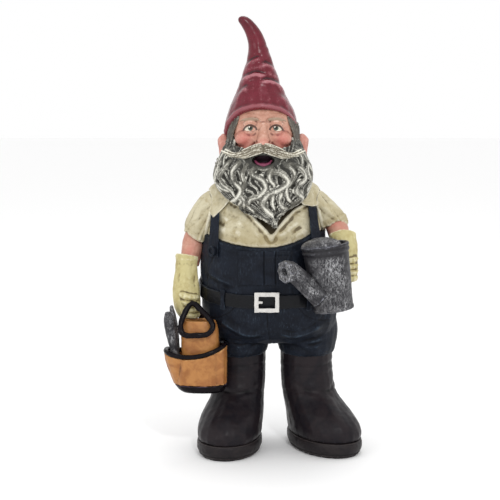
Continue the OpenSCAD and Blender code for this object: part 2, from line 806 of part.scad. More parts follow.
// The handle stands off the back of the can, in the hand
handle_turn = 66;
module can_handle_form(by = 0) {
    can_place() rotate(handle_turn)
        sweep(along([
            [can_top_r + 0.4, 0, can_h - 6],
            [can_top_r + 7, 0, can_h - 4],
            [can_top_r + 11.5, 0, can_h - 12],
            [can_top_r + 11, 0, can_h - 26],
            [can_top_r + 5.5, 0, can_h - 35],
            [can_r + 1.5, 0, can_h - 38]
        ], 2), 2.6 + by, [0, 1, 0], 12);
}
module can_handle() {
    color([0.24, 0.24, 0.25]) placed()
    casting() difference() {
        can_handle_form();
        can_solid(0.7);
        body_form(skin + 2);
    }
}

// ---- Tool bag.

// What the bag hangs against: the trunk, the trousers and the right boot
module hip_room() {
    body_form(skin + 0.1);
    loft(leg_sections(right_leg, 0.1), 20, 2);
    stand(-1) boot_form(-1, 0.1);
}

module bag_body_form(by = 0) {
    loft(grown([
        [-50.4, -32, 62, 14,   10,   0, 0, 2.6, 0],
        [-51.2, -32, 76, 15.4, 11.4, 0, 0, 2.8, 0],
        [-52,   -32, 94, 16,   12,   0, 0, 2.8, 0],
        [-52.4, -32, 108, 15.6, 11,  0, 0, 2.6, 0],
        [-53,   -32, 116, 14,   9,   0, 0, 2.4, 0]
    ], by), 28, 2);
}
module bag_body() {
    color([0.74, 0.48, 0.25]) placed()
    casting() difference() {
        bag_body_form();
        hip_room();
        // The open top
        loft([
            [-52, -32, 100, 11.5, 7,   0, 0, 2.4, 0],
            [-53, -32, 117, 11,   6.2, 0, 0, 2.4, 0]
        ], 24, 1);
    }
}

pocket_sections = [
    [-52.2, -32, 62, 22,   15,   0, 0, 2.6, 0],
    [-54,   -32, 72, 24.2, 16.2, 0, 0, 2.6, 0],
    [-55.6, -32, 82, 26,   17.2, 0, 0, 2.6, 0],
    [-56.4, -32, 97, 27.2, 18,   0, 0, 2.6, 0]
];
trim_edge = section_points([-56, -32, 0, 25.2, 16.2, 0, 0, 2.6, 0], 32);
function pocket_top(x) = let (u = (x + 56) / 26) 85.5 + 6 * u * u + 3 * u;
module bag_pockets() {
    color([0.76, 0.50, 0.26]) placed()
    casting() difference() {
        loft(pocket_sections, 22, 2);
        bag_body_form(0.05);
        hip_room();
        // The pockets' room, round the bag
        loft(grown([for (i = [1 : 3]) pocket_sections[i]], -2.6), 20, 2);
        prism(concat([for (x = [-90 : 5 : -20]) [x, pocket_top(x)]], [[-20, 130], [-90, 130]]), -80, 20);
        bag_trim_room();
    }
}
module bag_trim() {
    color([0.13, 0.10, 0.12]) placed()
    casting() difference() {
        sweep([for (p = trim_edge) [p[0], p[1], pocket_top(p[0]) + 1.9]], 1.9, [0, 0, 1], 8, true, 1.1);
        hip_room();
        bag_body_form(0.05);
    }
}
module bag_base() {
    color([0.13, 0.10, 0.12]) placed()
    casting() difference() {
        loft([
            [bag_at[0], bag_at[1], bag_at[2], 17.6, 13.6, 0, 0, 2.6, 0],
            [bag_at[0] - 0.6, bag_at[1], bag_at[2] + 2, 19.8, 15, 0, 0, 2.6, 0],
            [bag_at[0] - 2, bag_at[1], 61.95, 22.2, 15.4, 0, 0, 2.6, 0]
        ], 32, 1);
        hip_room();
    }
}

bag_front_loop = [
    [-58.6, -33.6, 130.4], [-50, -38, 124], [-41, -43.5, 113.5], [-45, -46.6, 106.8],
    [-55, -47, 105.4], [-65, -46.4, 105.8], [-68, -43, 112.5], [-65, -37.6, 122]
];
bag_rear_loop = [
    [-60, -24, 129], [-54, -21, 122], [-51, -18.6, 112], [-54, -18, 104.4],
    [-59, -18, 103.8], [-65, -18, 104.4], [-67.6, -18.6, 112], [-66, -21.4, 122]
];
module bag_loop(points, by = 0) { sweep(ring_path(points, 3), 2.5 + by, [0, 1, 0.2], 10, true); }
module bag_handle(points) {
    color([0.15, 0.11, 0.14]) placed()
    casting() difference() {
        bag_loop(points);
        hip_room();
        bag_body_form(0.05);
    }
}
module bag_front_handle() { bag_handle(bag_front_loop); }
module bag_rear_handle() { bag_handle(bag_rear_loop); }

// The tools stand in the bag's side pocket
module tool_room() {
    difference() {
        loft(grown(pocket_sections, 0.05), 22, 2);
        loft(grown([for (i = [1 : 3]) pocket_sections[i]], -2.65), 20, 2);
    }
    glove_form(-1, 0.1);
    bag_body_form(0.1);
    bag_loop(bag_front_loop, 0.1);
    bag_loop(bag_rear_loop, 0.1);
}
trowel_sections = [
    [-72,   -34, 76,  3,   3,   0, -8, 2, 0],
    [-73.8, -34, 91,  3.6, 3.4, 0, -8, 2, 0],
    [-75.2, -34, 99,  4.4, 5,   0, -10, 2.6, 0],
    [-77.2, -35, 112, 5,   6,   0, -10, 2.6, 0],
    [-78.2, -35.6, 118.5, 4.4, 4.6, 0, -10, 2.4, 0],
    [-79.4, -36, 123.5, 1.8, 1.6, 0, -10, 2, 0]
];
module trowel() {
    color([0.10, 0.10, 0.11]) placed()
    casting() difference() {
        loft(trowel_sections, 16, 2);
        tool_room();
        bag_trim_room();
    }
}
module bag_trim_room() {
    sweep([for (p = trim_edge) [p[0], p[1], pocket_top(p[0]) + 1.9]], 1.95, [0, 0, 1], 8, true, 1.1);
}
module pruners() {
    color([0.10, 0.10, 0.11]) placed()
    casting() difference() {
        for (k = [0, 1])
            sweep(along([
                [-71.6, -27 + 3 * k, 78],
                [-72.4, -28 + 3 * k, 96],
                [-74, -30.6 + 4.4 * k - (k == 0 ? 3.4 : 0), 112],
                [-76.4, -31 + 1.2 * k - (k == 0 ? 1.4 : 0), 127.5]
            ], 2), [2, 2.3, 2.5, 2.6, 2.7, 2.4, 1.4], [1, 0, 0], 10);
        tool_room();
        bag_trim_room();
        loft(grown(trowel_sections, 0.1), 16, 2);
    }
}

// ---- Steel pins, each in a blind hole in both of the castings that it joins.

neck_at = [1, 3];
module neck_rod_shape(by) { translate([neck_at[0], neck_at[1], 212 - by]) cylinder(h = 48 + 2 * by, d = rod_d + 2 * by); }
module neck_rod_bore() { neck_rod_shape(rod_clear); }
module neck_rod() { color([0.62, 0.63, 0.64]) placed() neck_rod_shape(0); }

module hat_dowel_shape(by) { translate([0, 2.5, 290 - by]) cylinder(h = 30 + 2 * by, d = dowel_d + 2 * by); }
module hat_dowel_bore() { hat_dowel_shape(rod_clear); }
module hat_dowel() { color([0.62, 0.63, 0.64]) placed() hat_dowel_shape(0); }

shoulder_z = 207.5;
module shoulder_dowel(side, by) {
    translate([side < 0 ? -55 - by : 36 - by, 2.5, shoulder_z])
        rotate([0, 90, 0]) cylinder(h = (side < 0 ? 21 : 21) + 2 * by, d = dowel_d + 2 * by);
}
module elbow_dowel(side, by) {
    if (side < 0) translate([-57.3, -3.4, 175 - by]) cylinder(h = 23 + 2 * by, d = dowel_d + 2 * by);
    else translate([63, -2.4, 190 - by]) cylinder(h = 13 + 2 * by, d = dowel_d + 2 * by);
}
module wrist_dowel(side, by) {
    if (side < 0) translate([-62, -10.6, 150 - by]) cylinder(h = 19 + 2 * by, d = dowel_d + 2 * by);
    else translate([67.6, -17.4, 170 - by]) cylinder(h = 13 + 2 * by, d = dowel_d + 2 * by);
}
module arm_dowel_bores(side) {
    shoulder_dowel(side, rod_clear);
    elbow_dowel(side, rod_clear);
    wrist_dowel(side, rod_clear);
}
module shoulder_dowel_bores() {
    for (side = [-1, 1]) shoulder_dowel(side, rod_clear);
    neck_rod_bore();
}
module arm_dowels() {
    color([0.62, 0.63, 0.64]) placed()
    for (side = [-1, 1]) {
        shoulder_dowel(side, 0);
        elbow_dowel(side, 0);
        wrist_dowel(side, 0);
    }
}

module leg_rod_shapes(by) {
    for (at = [right_leg, left_leg])
        translate([at[0], at[1], 50 - by]) cylinder(h = 62 + 2 * by, d = rod_d + 2 * by);
}
module leg_rod_bores() { leg_rod_shapes(rod_clear); }
module leg_rods() { color([0.62, 0.63, 0.64]) placed() leg_rod_shapes(0); }

module placed() {
    scale(figure_h / model_h) translate([-plan_centre[0], -plan_centre[1], -plan_centre[2]]) children();
}

hat();
head();
hair();
beard();
moustache();
shirt();
collar();
overalls();
bib_pocket();
right_strap();
left_strap();
strap_buttons();
belt();
belt_loops();
buckle();
right_sleeve();
right_forearm();
right_glove();
left_sleeve();
left_forearm();
left_glove();
right_boot();
left_boot();
right_sole();
left_sole();
can_body();
can_hood();
can_spout();
can_rose();
can_handle();
bag_body();
bag_pockets();
bag_trim();
bag_base();
bag_front_handle();
bag_rear_handle();
trowel();
pruners();
neck_rod();
hat_dowel();
arm_dowels();
leg_rods();
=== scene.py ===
import math
import bpy
import bmesh
import numpy as np
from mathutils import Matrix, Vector


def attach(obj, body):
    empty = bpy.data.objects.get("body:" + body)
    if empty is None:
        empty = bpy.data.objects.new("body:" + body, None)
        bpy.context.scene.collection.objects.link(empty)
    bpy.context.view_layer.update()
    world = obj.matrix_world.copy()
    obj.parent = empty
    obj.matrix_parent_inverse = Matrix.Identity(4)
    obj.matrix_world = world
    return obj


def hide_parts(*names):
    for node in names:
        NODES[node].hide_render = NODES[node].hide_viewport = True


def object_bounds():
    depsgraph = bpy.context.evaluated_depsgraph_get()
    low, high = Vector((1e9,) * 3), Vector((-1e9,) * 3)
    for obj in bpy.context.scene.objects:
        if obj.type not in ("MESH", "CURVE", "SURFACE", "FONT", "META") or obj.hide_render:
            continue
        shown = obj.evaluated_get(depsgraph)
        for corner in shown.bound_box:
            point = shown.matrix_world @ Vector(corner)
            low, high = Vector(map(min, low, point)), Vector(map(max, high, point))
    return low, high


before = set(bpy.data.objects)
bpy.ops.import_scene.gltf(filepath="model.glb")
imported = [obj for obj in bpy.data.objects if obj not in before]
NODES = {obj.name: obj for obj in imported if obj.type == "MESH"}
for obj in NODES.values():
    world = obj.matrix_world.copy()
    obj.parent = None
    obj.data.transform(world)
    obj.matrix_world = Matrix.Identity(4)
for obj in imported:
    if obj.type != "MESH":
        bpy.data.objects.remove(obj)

CAD_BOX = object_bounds()
MM = 0.001
OFF = np.array([-1.2, 16.4, 0.0])     # from the CAD drawing's own millimetres to the frame's
MIDDLE = 1                            # x of the middle of the head
SAME_POINT = 2e-6                     # metres
HALF_HEIGHT = 0.19                    # metres


# ---- numbers

def _hash(x, y, z, seed):
    h = (x * np.uint32(0x8da6b343)) ^ (y * np.uint32(0xd8163841)) ^ (z * np.uint32(0xcb1ab31f))
    h = h ^ np.uint32((seed * 0x9E3779B9) & 0xffffffff)
    h = (h ^ (h >> np.uint32(13))) * np.uint32(0x5bd1e995)
    h = (h ^ (h >> np.uint32(15))) * np.uint32(0x27d4eb2d)
    h = h ^ (h >> np.uint32(14))
    return (h & np.uint32(0xffffff)).astype(np.float64) / 0xffffff * 2 - 1


def noise(p, size, seed=0):
    """Smooth noise from -1 to 1 at points p, with features of about size (a number or one per axis)."""
    q = p / np.asarray(size, float) + 1000.0
    i = np.floor(q)
    f = q - i
    f = f * f * f * (f * (f * 6 - 15) + 10)
    i = i.astype(np.int64).astype(np.uint32)
    x, y, z = i.T
    r = 0.0
    with np.errstate(over="ignore"):
        for a in (0, 1):
            for b in (0, 1):
                for c in (0, 1):
                    w = ((f[:, 0] if a else 1 - f[:, 0]) * (f[:, 1] if b else 1 - f[:, 1])
                         * (f[:, 2] if c else 1 - f[:, 2]))
                    r = r + w * _hash(x + np.uint32(a), y + np.uint32(b), z + np.uint32(c), seed)
    return r


def fbm(p, size, seed=0, octaves=3):
    r, a = 0.0, 1.0
    for k in range(octaves):
        r = r + a * noise(p, np.asarray(size, float) / 2 ** k, seed + k)
        a *= 0.5
    return r / (2 - 0.5 ** (octaves - 1))


def step(v, a, b):
    """0 at a, 1 at b, smooth between"""
    t = np.clip((v - a) / (b - a), 0, 1)
    return t * t * (3 - 2 * t)


def bell(d, w):
    return np.exp(-(d / w) ** 2)


def near_line(q, line):
    """(distance, share of the way along, signed side) from points q to a 2D or 3D line"""
    line = np.asarray(line, float)
    best = np.full(len(q), 1e9)
    along = np.zeros(len(q))
    side = np.zeros(len(q))
    length = np.linalg.norm(np.diff(line, axis=0), axis=1)
    total = length.sum()
    run = 0.0
    for k in range(len(line) - 1):
        a, b = line[k], line[k + 1]
        ab = b - a
        t = np.clip(((q - a) @ ab) / (ab @ ab), 0, 1)
        r = q - a - t[:, None] * ab
        d = np.linalg.norm(r, axis=1)
        better = d < best
        best = np.where(better, d, best)
        along = np.where(better, (run + t * length[k]) / total, along)
        if q.shape[1] == 2:
            s = ab[0] * (q[:, 1] - a[1]) - ab[1] * (q[:, 0] - a[0])
            side = np.where(better, np.sign(s), side)
        run += length[k]
    return best, along, side


def curve(points, steps=6):
    """A smooth line through points"""
    p = [np.asarray(v, float) for v in points]
    m = len(p)
    out = []
    for i in range(m - 1):
        a, b, c, d = p[max(i - 1, 0)], p[i], p[i + 1], p[min(i + 2, m - 1)]
        for k in range(steps):
            t = k / steps
            out.append(0.5 * (2 * b + (c - a) * t + (2 * a - 5 * b + 4 * c - d) * t * t
                              + (3 * b - a - 3 * c + d) * t ** 3))
    out.append(p[-1])
    return np.array(out)


def gap(q, points, steps=5):
    """Distance from points q to a smooth line through points"""
    return near_line(q, curve(points, steps))[0]


def ends_fade(along, reach):
    """0 at both ends of a line and 1 from reach inwards"""
    return step(along, 0, reach) * step(1 - along, 0, reach)


def share(line, at, values):
    """Values along a line, given at shares of the way along it"""
    return np.interp(np.linspace(0, 1, len(line)), at, values)


def mirrored(side, points):
    """Points given by their distance out from the face's middle, on side -1 or 1"""
    return [(MIDDLE + side * x, y, z) for x, y, z in points]


def crease(q, line, depth, w, lip, ends=0.3):
    """A groove along a line, with a rolled lip on the line's left, fading out at both ends"""
    r, along, side = near_line(q, curve(line, 6))
    v = r * side
    across = lip * bell(v - w * 1.4, w) - bell(v, w * 0.7) + 0.2 * bell(v + w * 1.6, w)
    return ends_fade(along, ends) * depth * across


class Form:
    """One of the drawing's lofted forms: rows of x, y, z, half width, half depth and squareness."""

    def __init__(self, rows):
        s = curve(rows, 4)
        self.s = s[np.argsort(s[:, 2])]

    def at(self, z):
        return [np.interp(z, self.s[:, 2], self.s[:, k]) for k in (0, 1, 3, 4, 5)]

    def depth(self, p):
        """How far inside the form each point is, in mm, negative outside"""
        x, y, a, b, q = self.at(p[:, 2])
        u, v = np.abs(p[:, 0] - x) / a, np.abs(p[:, 1] - y) / b
        r = (u ** q + v ** q) ** (1 / q)
        return (1 - r) * np.hypot(p[:, 0] - x, p[:, 1] - y) / np.maximum(r, 0.05)

    def point(self, z, turn, out=0.0):
        """The point on the form at height z and turn in degrees, 0 in front and + towards +X"""
        x, y, a, b, q = self.at(z)
        t = np.radians(turn)
        c, d = np.sin(t), -np.cos(t)
        k = (np.abs(c) ** q + np.abs(d) ** q) ** (-1 / q)
        return np.stack([x + (a + out) * k * c, y + (b + out) * k * d, z + 0 * x], -1)


BODY = Form([
    (8, 1, 94.5, 37, 26, 2.2), (7.5, 0, 100, 49, 35.5, 2.3), (7, -1, 110, 54.5, 41, 2.4),
    (6.5, -2, 126, 56, 44, 2.3), (5, -3, 142, 55, 45.5, 2.2), (3.5, -4, 158, 54.5, 46.5, 2.2),
    (2.5, -3, 174, 52, 44.5, 2.2), (2, -1.5, 190, 49.5, 41, 2.2), (2, 1, 204, 47, 36, 2.2),
    (2, 3, 215, 45.5, 31, 2.1), (2, 4, 223, 45, 26.5, 2.1), (2, 4, 229, 39, 22.5, 2),
    (1.5, 4, 234, 27, 18.5, 2), (1, 4, 238, 17.5, 16.5, 2)])
BEARD = Form([
    (11.5, -41, 195.5, 3, 3.5, 2), (9.5, -36, 201, 10, 11, 2), (6.5, -28, 208.5, 21, 20, 2),
    (3, -18, 219, 34.5, 31.5, 2.1), (1, -11, 231, 41, 36, 2.2), (1, -9, 242, 40.5, 35.5, 2.2),
    (1, -7, 254, 36, 33.5, 2.2), (1, -4, 264, 31.5, 31, 2.1), (1, -2, 270, 28.6, 28, 2.1)])
HEAD = Form([
    (1, 4, 222, 15, 14, 2), (1, 3, 236, 16, 16, 2), (1, -1, 244, 23, 25, 2.1), (1, -1, 254, 27.5, 29.5, 2.2),
    (1, 0, 266, 28.5, 31, 2.2), (1, 1, 278, 27.5, 30.5, 2.2), (1, 2, 288, 25, 28, 2.1),
    (1, 3, 297, 19, 21, 2), (1, 3, 303, 8, 9, 2)])


# ---- meshes

def link(name, me):
    ob = bpy.data.objects.new(name, me)
    bpy.context.scene.collection.objects.link(ob)
    return ob


def tube(path, radius, flat=1.0, sides=10, up=(0, -1, 0)):
    """Points and faces of a tube along path. radius has one value or one per point, and flat is the
    height for a width of 1, measured along up."""
    path = np.asarray(path, float)
    m = len(path)
    radius = np.broadcast_to(np.asarray(radius, float), (m,))
    up = np.broadcast_to(np.asarray(up, float), (m, 3))
    t = np.gradient(path, axis=0)
    t /= np.linalg.norm(t, axis=1)[:, None]
    w = np.cross(t, up)
    w /= np.linalg.norm(w, axis=1)[:, None]
    h = np.cross(w, t)
    a = np.linspace(0, 2 * np.pi, sides, endpoint=False)
    ring = (path[:, None] + radius[:, None, None] * (w[:, None] * np.cos(a)[None, :, None]
            + flat * h[:, None] * np.sin(a)[None, :, None]))
    f = []
    for i in range(m - 1):
        for k in range(sides):
            near, far, on = i * sides, (i + 1) * sides, (k + 1) % sides
            f.append((near + k, near + on, far + on, far + k))
    f.append(tuple(range(sides))[::-1])
    f.append(tuple((m - 1) * sides + k for k in range(sides)))
    return ring.reshape(-1, 3), f


def ball(centre, radius, flat=(1, 1, 1), sub=3):
    bm = bmesh.new()
    bmesh.ops.create_icosphere(bm, subdivisions=sub, radius=1.0)
    v = np.array([tuple(q.co) for q in bm.verts]) * radius * np.asarray(flat, float)
    f = [tuple(q.index for q in fc.verts) for fc in bm.faces]
    bm.free()
    return v + np.asarray(centre, float), f


def cad_parts(name):
    """A copy of a CAD node's mesh, in the drawing's millimetres"""
    bm = bmesh.new()
    bm.from_mesh(NODES[name].data)
    bmesh.ops.remove_doubles(bm, verts=bm.verts, dist=SAME_POINT)
    v = np.array([tuple(q.co) for q in bm.verts]) / MM - OFF
    bm.verts.index_update()
    f = [tuple(q.index for q in fc.verts) for fc in bm.faces]
    bm.free()
    return [(v, f)]


def mesh_of(name, parts):
    v, f, base = [], [], 0
    for pv, pf in parts:
        v.append(np.asarray(pv, float))
        f.extend(tuple(int(i) + base for i in face) for face in pf)
        base += len(pv)
    me = bpy.data.meshes.new(name)
    me.from_pydata(((np.vstack(v) + OFF) * MM).tolist(), [], f)
    return me


class Clay:
    """A mesh being worked, with its points p in the drawing's millimetres."""

    def __init__(self, name, parts, voxel):
        raw = mesh_of(name, parts)
        ob = link(name + "_raw", raw)
        mod = ob.modifiers.new("remesh", "REMESH")
        mod.mode = "VOXEL"
        mod.voxel_size = voxel * MM
        dg = bpy.context.evaluated_depsgraph_get()
        me = bpy.data.meshes.new_from_object(ob.evaluated_get(dg))
        bpy.data.objects.remove(ob)
        bpy.data.meshes.remove(raw)
        me.name = name
        self.name, self.me, self.att = name, me, {}
        n = len(me.vertices)
        co = np.empty(n * 3, np.float32)
        me.vertices.foreach_get("co", co)
        self.p = co.reshape(n, 3).astype(float) / MM - OFF
        e = np.empty(len(me.edges) * 2, np.int32)
        me.edges.foreach_get("vertices", e)
        self.e = e.reshape(-1, 2)
        me.calc_loop_triangles()
        t = np.empty(len(me.loop_triangles) * 3, np.int32)
        me.loop_triangles.foreach_get("vertices", t)
        self.t = t.reshape(-1, 3)
        self.deg = np.maximum(np.bincount(self.e.ravel(), minlength=n), 1).astype(float)

    def mean(self, v):
        if v.ndim == 2:
            return np.stack([self.mean(v[:, k]) for k in range(v.shape[1])], 1)
        a, b = self.e.T
        n = len(v)
        return (np.bincount(a, v[b], n) + np.bincount(b, v[a], n)) / self.deg

    def smooth(self, times=1, amount=0.5, mask=None):
        for _ in range(times):
            d = (self.mean(self.p) - self.p) * amount
            self.p = self.p + (d if mask is None else d * mask[:, None])
        return self

    def normals(self):
        a, b, c = (self.p[self.t[:, k]] for k in range(3))
        fn = np.cross(b - a, c - a)
        n = np.stack([np.bincount(self.t.ravel(), np.repeat(fn[:, k], 3), len(self.p)) for k in range(3)], 1)
        return n / np.maximum(np.linalg.norm(n, axis=1), 1e-12)[:, None]

    def push(self, d, n=None):
        self.p = self.p + (self.normals() if n is None else n) * d[:, None]
        return self

    def relief(self, times):
        """Height of each point above the locally smoothed surface, in mm"""
        q = self.p
        for _ in range(times):
            q = 0.5 * q + 0.5 * self.mean(q)
        return np.einsum("ij,ij->i", self.p - q, self.normals())

    def write(self):
        inside = np.clip((self.p + OFF) * MM, CAD_BOX[0], CAD_BOX[1])
        self.me.vertices.foreach_set("co", inside.astype(np.float32).ravel())
        self.me.update()

    def cavities(self, fine, coarse, gain):
        """cav: the hollows, painted darker, partly as the paint's own dark-washed tone and partly as painted
        shade. edge: what stands proud, dry brushed paler, partly as the paint itself and partly as painted
        highlights.
        """
        a, b = self.relief(fine), self.relief(coarse)
        v = gain[0] * a + gain[1] * b
        self.att["cav"] = np.clip(-v, 0, 1)
        self.att["edge"] = np.clip(v, 0, 1)
        return self

    def done(self, mat, node):
        self.write()
        for k, v in self.att.items():
            a = self.me.attributes.new(k, "FLOAT", "POINT")
            a.data.foreach_set("value", np.asarray(v, np.float32))
        for poly in self.me.polygons:
            poly.use_smooth = True
        self.me.materials.clear()
        self.me.materials.append(mat)
        ob = link(self.name, self.me)
        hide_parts(node)
        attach(ob, "root")


def begin(piece, node, voxel, smooth):
    """A CAD node's mesh, remeshed and smoothed, with its points and normals"""
    c = Clay(piece, cad_parts(node), voxel).smooth(smooth)
    return c, c.p, c.normals()


# ---- materials

class Paint:
    """Builds one node material. Sizes are in millimetres on the object."""

    def __init__(self, name):
        self.m = bpy.data.materials.new(name)
        self.m.use_nodes = True
        self.t = self.m.node_tree
        self.t.nodes.clear()
        self.out = self.t.nodes.new("ShaderNodeOutputMaterial")
        self.b = self.t.nodes.new("ShaderNodeBsdfPrincipled")
        self.t.links.new(self.b.outputs[0], self.out.inputs[0])
        self.obj = self.t.nodes.new("ShaderNodeTexCoord").outputs["Object"]

    def put(self, socket, value):
        if hasattr(value, "is_output"):
            self.t.links.new(value, socket)
        elif isinstance(value, (tuple, list)) and len(value) == 3 and socket.type == "RGBA":
            socket.default_value = (*value, 1.0)
        else:
            socket.default_value = value

    def math(self, op, a, b):
        n = self.t.nodes.new("ShaderNodeMath")
        n.operation = op
        self.put(n.inputs[0], a)
        self.put(n.inputs[1], b)
        return n.outputs[0]

    def add(self, a, b):
        return self.math("ADD", a, b)

    def mul(self, a, b):
        return self.math("MULTIPLY", a, b)

    def att(self, name):
        n = self.t.nodes.new("ShaderNodeAttribute")
        n.attribute_name = name
        return n.outputs["Fac"]

    def ramp(self, v, a, b, lo=0.0, hi=1.0, kind="SMOOTHSTEP"):
        n = self.t.nodes.new("ShaderNodeMapRange")
        n.interpolation_type = kind
        self.put(n.inputs[0], v)
        for k, x in enumerate((a, b, lo, hi)):
            self.put(n.inputs[k + 1], x)
        return n.outputs[0]

    def place(self, scale=(1, 1, 1), turn_deg=(0, 0, 0)):
        n = self.t.nodes.new("ShaderNodeMapping")
        n.inputs["Scale"].default_value = scale
        n.inputs["Rotation"].default_value = [math.radians(v) for v in turn_deg]
        self.t.links.new(self.obj, n.inputs["Vector"])
        return n.outputs[0]

    def noise(self, size, detail=2.0, rough=0.5, warp=0.0, at=None, seed=0.0):
        n = self.t.nodes.new("ShaderNodeTexNoise")
        n.noise_dimensions = "4D"
        self.put(n.inputs["Vector"], at if at is not None else self.obj)
        n.inputs["W"].default_value = seed
        n.inputs["Scale"].default_value = 1000.0 / size
        n.inputs["Detail"].default_value = detail
        n.inputs["Roughness"].default_value = rough
        n.inputs["Distortion"].default_value = warp
        return n.outputs["Fac"]

    def mix(self, f, a, b):
        n = self.t.nodes.new("ShaderNodeMix")
        n.data_type = "RGBA"
        n.clamp_factor = True
        self.put(n.inputs[0], f)
        self.put(n.inputs[6], a)
        self.put(n.inputs[7], b)
        return n.outputs[2]

    def over(self, col, colour, v, a, b, amount):
        """Lays colour over col where v runs from a to b"""
        return self.mix(self.mul(self.ramp(v, a, b), amount), col, colour)

    def vary(self, name, v, amount):
        """An attribute made uneven by the noise v"""
        return self.add(self.att(name), self.mul(self.add(v, -0.5), amount))

    def bump(self, height, depth):
        n = self.t.nodes.new("ShaderNodeBump")
        n.inputs["Strength"].default_value = 1.0
        n.inputs["Distance"].default_value = depth * MM
        self.put(n.inputs["Height"], height)
        return n.outputs[0]

    def finish(self, colour, rough, normal=None, coat=0.0, coat_rough=0.2, spec=0.5):
        self.put(self.b.inputs["Base Color"], colour)
        self.put(self.b.inputs["Roughness"], rough)
        if normal is not None:
            self.put(self.b.inputs["Normal"], normal)
        self.b.inputs["Specular IOR Level"].default_value = spec
        self.b.inputs["Coat Weight"].default_value = coat
        self.b.inputs["Coat Roughness"].default_value = coat_rough
        return self.m


def srgb(r, g, b):
    """A screen colour of 0 to 255 as linear light"""
    return tuple(c / 255 / 12.92 if c / 255 <= 0.04045 else ((c / 255 + 0.055) / 1.055) ** 2.4 for c in (r, g, b))


def painted(name, base, other, wash_shade, drybrush_highlight, rough=0.5, wash_shade_at=(0.05, 0.6), drybrush_highlight_at=(0.15, 0.8),
            blotch=9.0, streak=(1, 1, 1), drybrush_highlight_amount=0.8,
            wash_shade_amount=0.9, grain=0.05, coat=0.0, spec=0.4, extra=None):
    """Hand-painted resin: two base tones in blotches, dark-washed hollows that also paint the shade there, and dry
    brushing on what stands proud that also paints highlights, broken up along the streak's long axis."""
    p = Paint(name)
    blot = p.noise(blotch, 4, 0.6, 0.6)
    col = p.mix(p.ramp(blot, 0.38, 0.66), base, other)
    fine = p.noise(1.2, 5, 0.65, 0.4, p.place(streak), 3.0)
    cav = p.vary("cav", p.noise(2.6, 3, 0.6, 0.3, None, 7.0), 0.5)
    col = p.over(col, wash_shade, cav, *wash_shade_at, wash_shade_amount)
    col = p.over(col, drybrush_highlight, p.vary("edge", fine, 1.1), *drybrush_highlight_at, drybrush_highlight_amount)
    if extra:
        col = extra(p, col)
    r = p.ramp(p.noise(5, 3, 0.6, 0, None, 11.0), 0.3, 0.7, rough - 0.08, rough + 0.1, "LINEAR")
    h = p.add(p.mul(fine, 0.6), p.mul(p.noise(0.7, 3, 0.6, 0, None, 5.0), 0.4))
    return p.finish(col, r, p.bump(h, grain), coat, 0.25, spec)


def plain(mat, piece, node, voxel, smooth, relief, after, cavities):
    """A piece with nothing but uneven casting: relief has each noise's height, size and seed"""
    c, p, n = begin(piece, node, voxel, smooth)
    c.push(sum(high * fbm(p, size, seed) for high, size, seed in relief), n)
    c.smooth(*after).cavities(*cavities).done(mat, node)


def brush(p, col, name, colour, amount=1.0, lo=0.35, hi=0.65):
    """Paints colour where the attribute name is set"""
    return p.over(col, colour, p.att(name), lo, hi, amount)


# ---- hat

FRONT_BRIM = [(-32, 297.5), (-20, 289), (-10, 279.5), (0, 270), (10, 261), (20, 255), (34, 250)]


# The hat's folds as x, z in front view: then depth and width
HAT_FRONT = [
    ([(1, 334.5), (-5, 336), (-12, 332), (-15, 327)], 1.5, 1.5),
    ([(14, 322), (10, 328), (4, 331.5), (-3, 331)], 1.5, 1.5),
    ([(6, 318), (3, 322), (-5, 323.8), (-14, 320.5), (-20, 314)], 1.8, 1.7),
    ([(23, 304), (17, 312), (7, 318), (-5, 317.5)], 1.7, 1.7),
    ([(-8, 313), (-16, 311), (-23, 303), (-26, 295)], 1.2, 1.9),
    ([(27, 292), (22, 301), (13, 307)], 1.0, 2.0), ([(9, 342), (4, 345), (-3, 343)], 0.6, 1.4)]
HAT_REAR = [
    ([(-12, 330), (-4, 335), (6, 334), (13, 328)], 1.5, 1.7),
    ([(-18, 314), (-8, 322), (4, 321), (10, 317)], 1.6, 1.8),
    ([(-6, 312), (6, 316), (16, 312), (22, 302)], 1.4, 1.9), ([(-27, 294), (-16, 302), (-2, 301)], 1.1, 2.1)]


def brim_height(y):
    yy, zz = zip(*FRONT_BRIM)
    return np.interp(y, yy, zz)


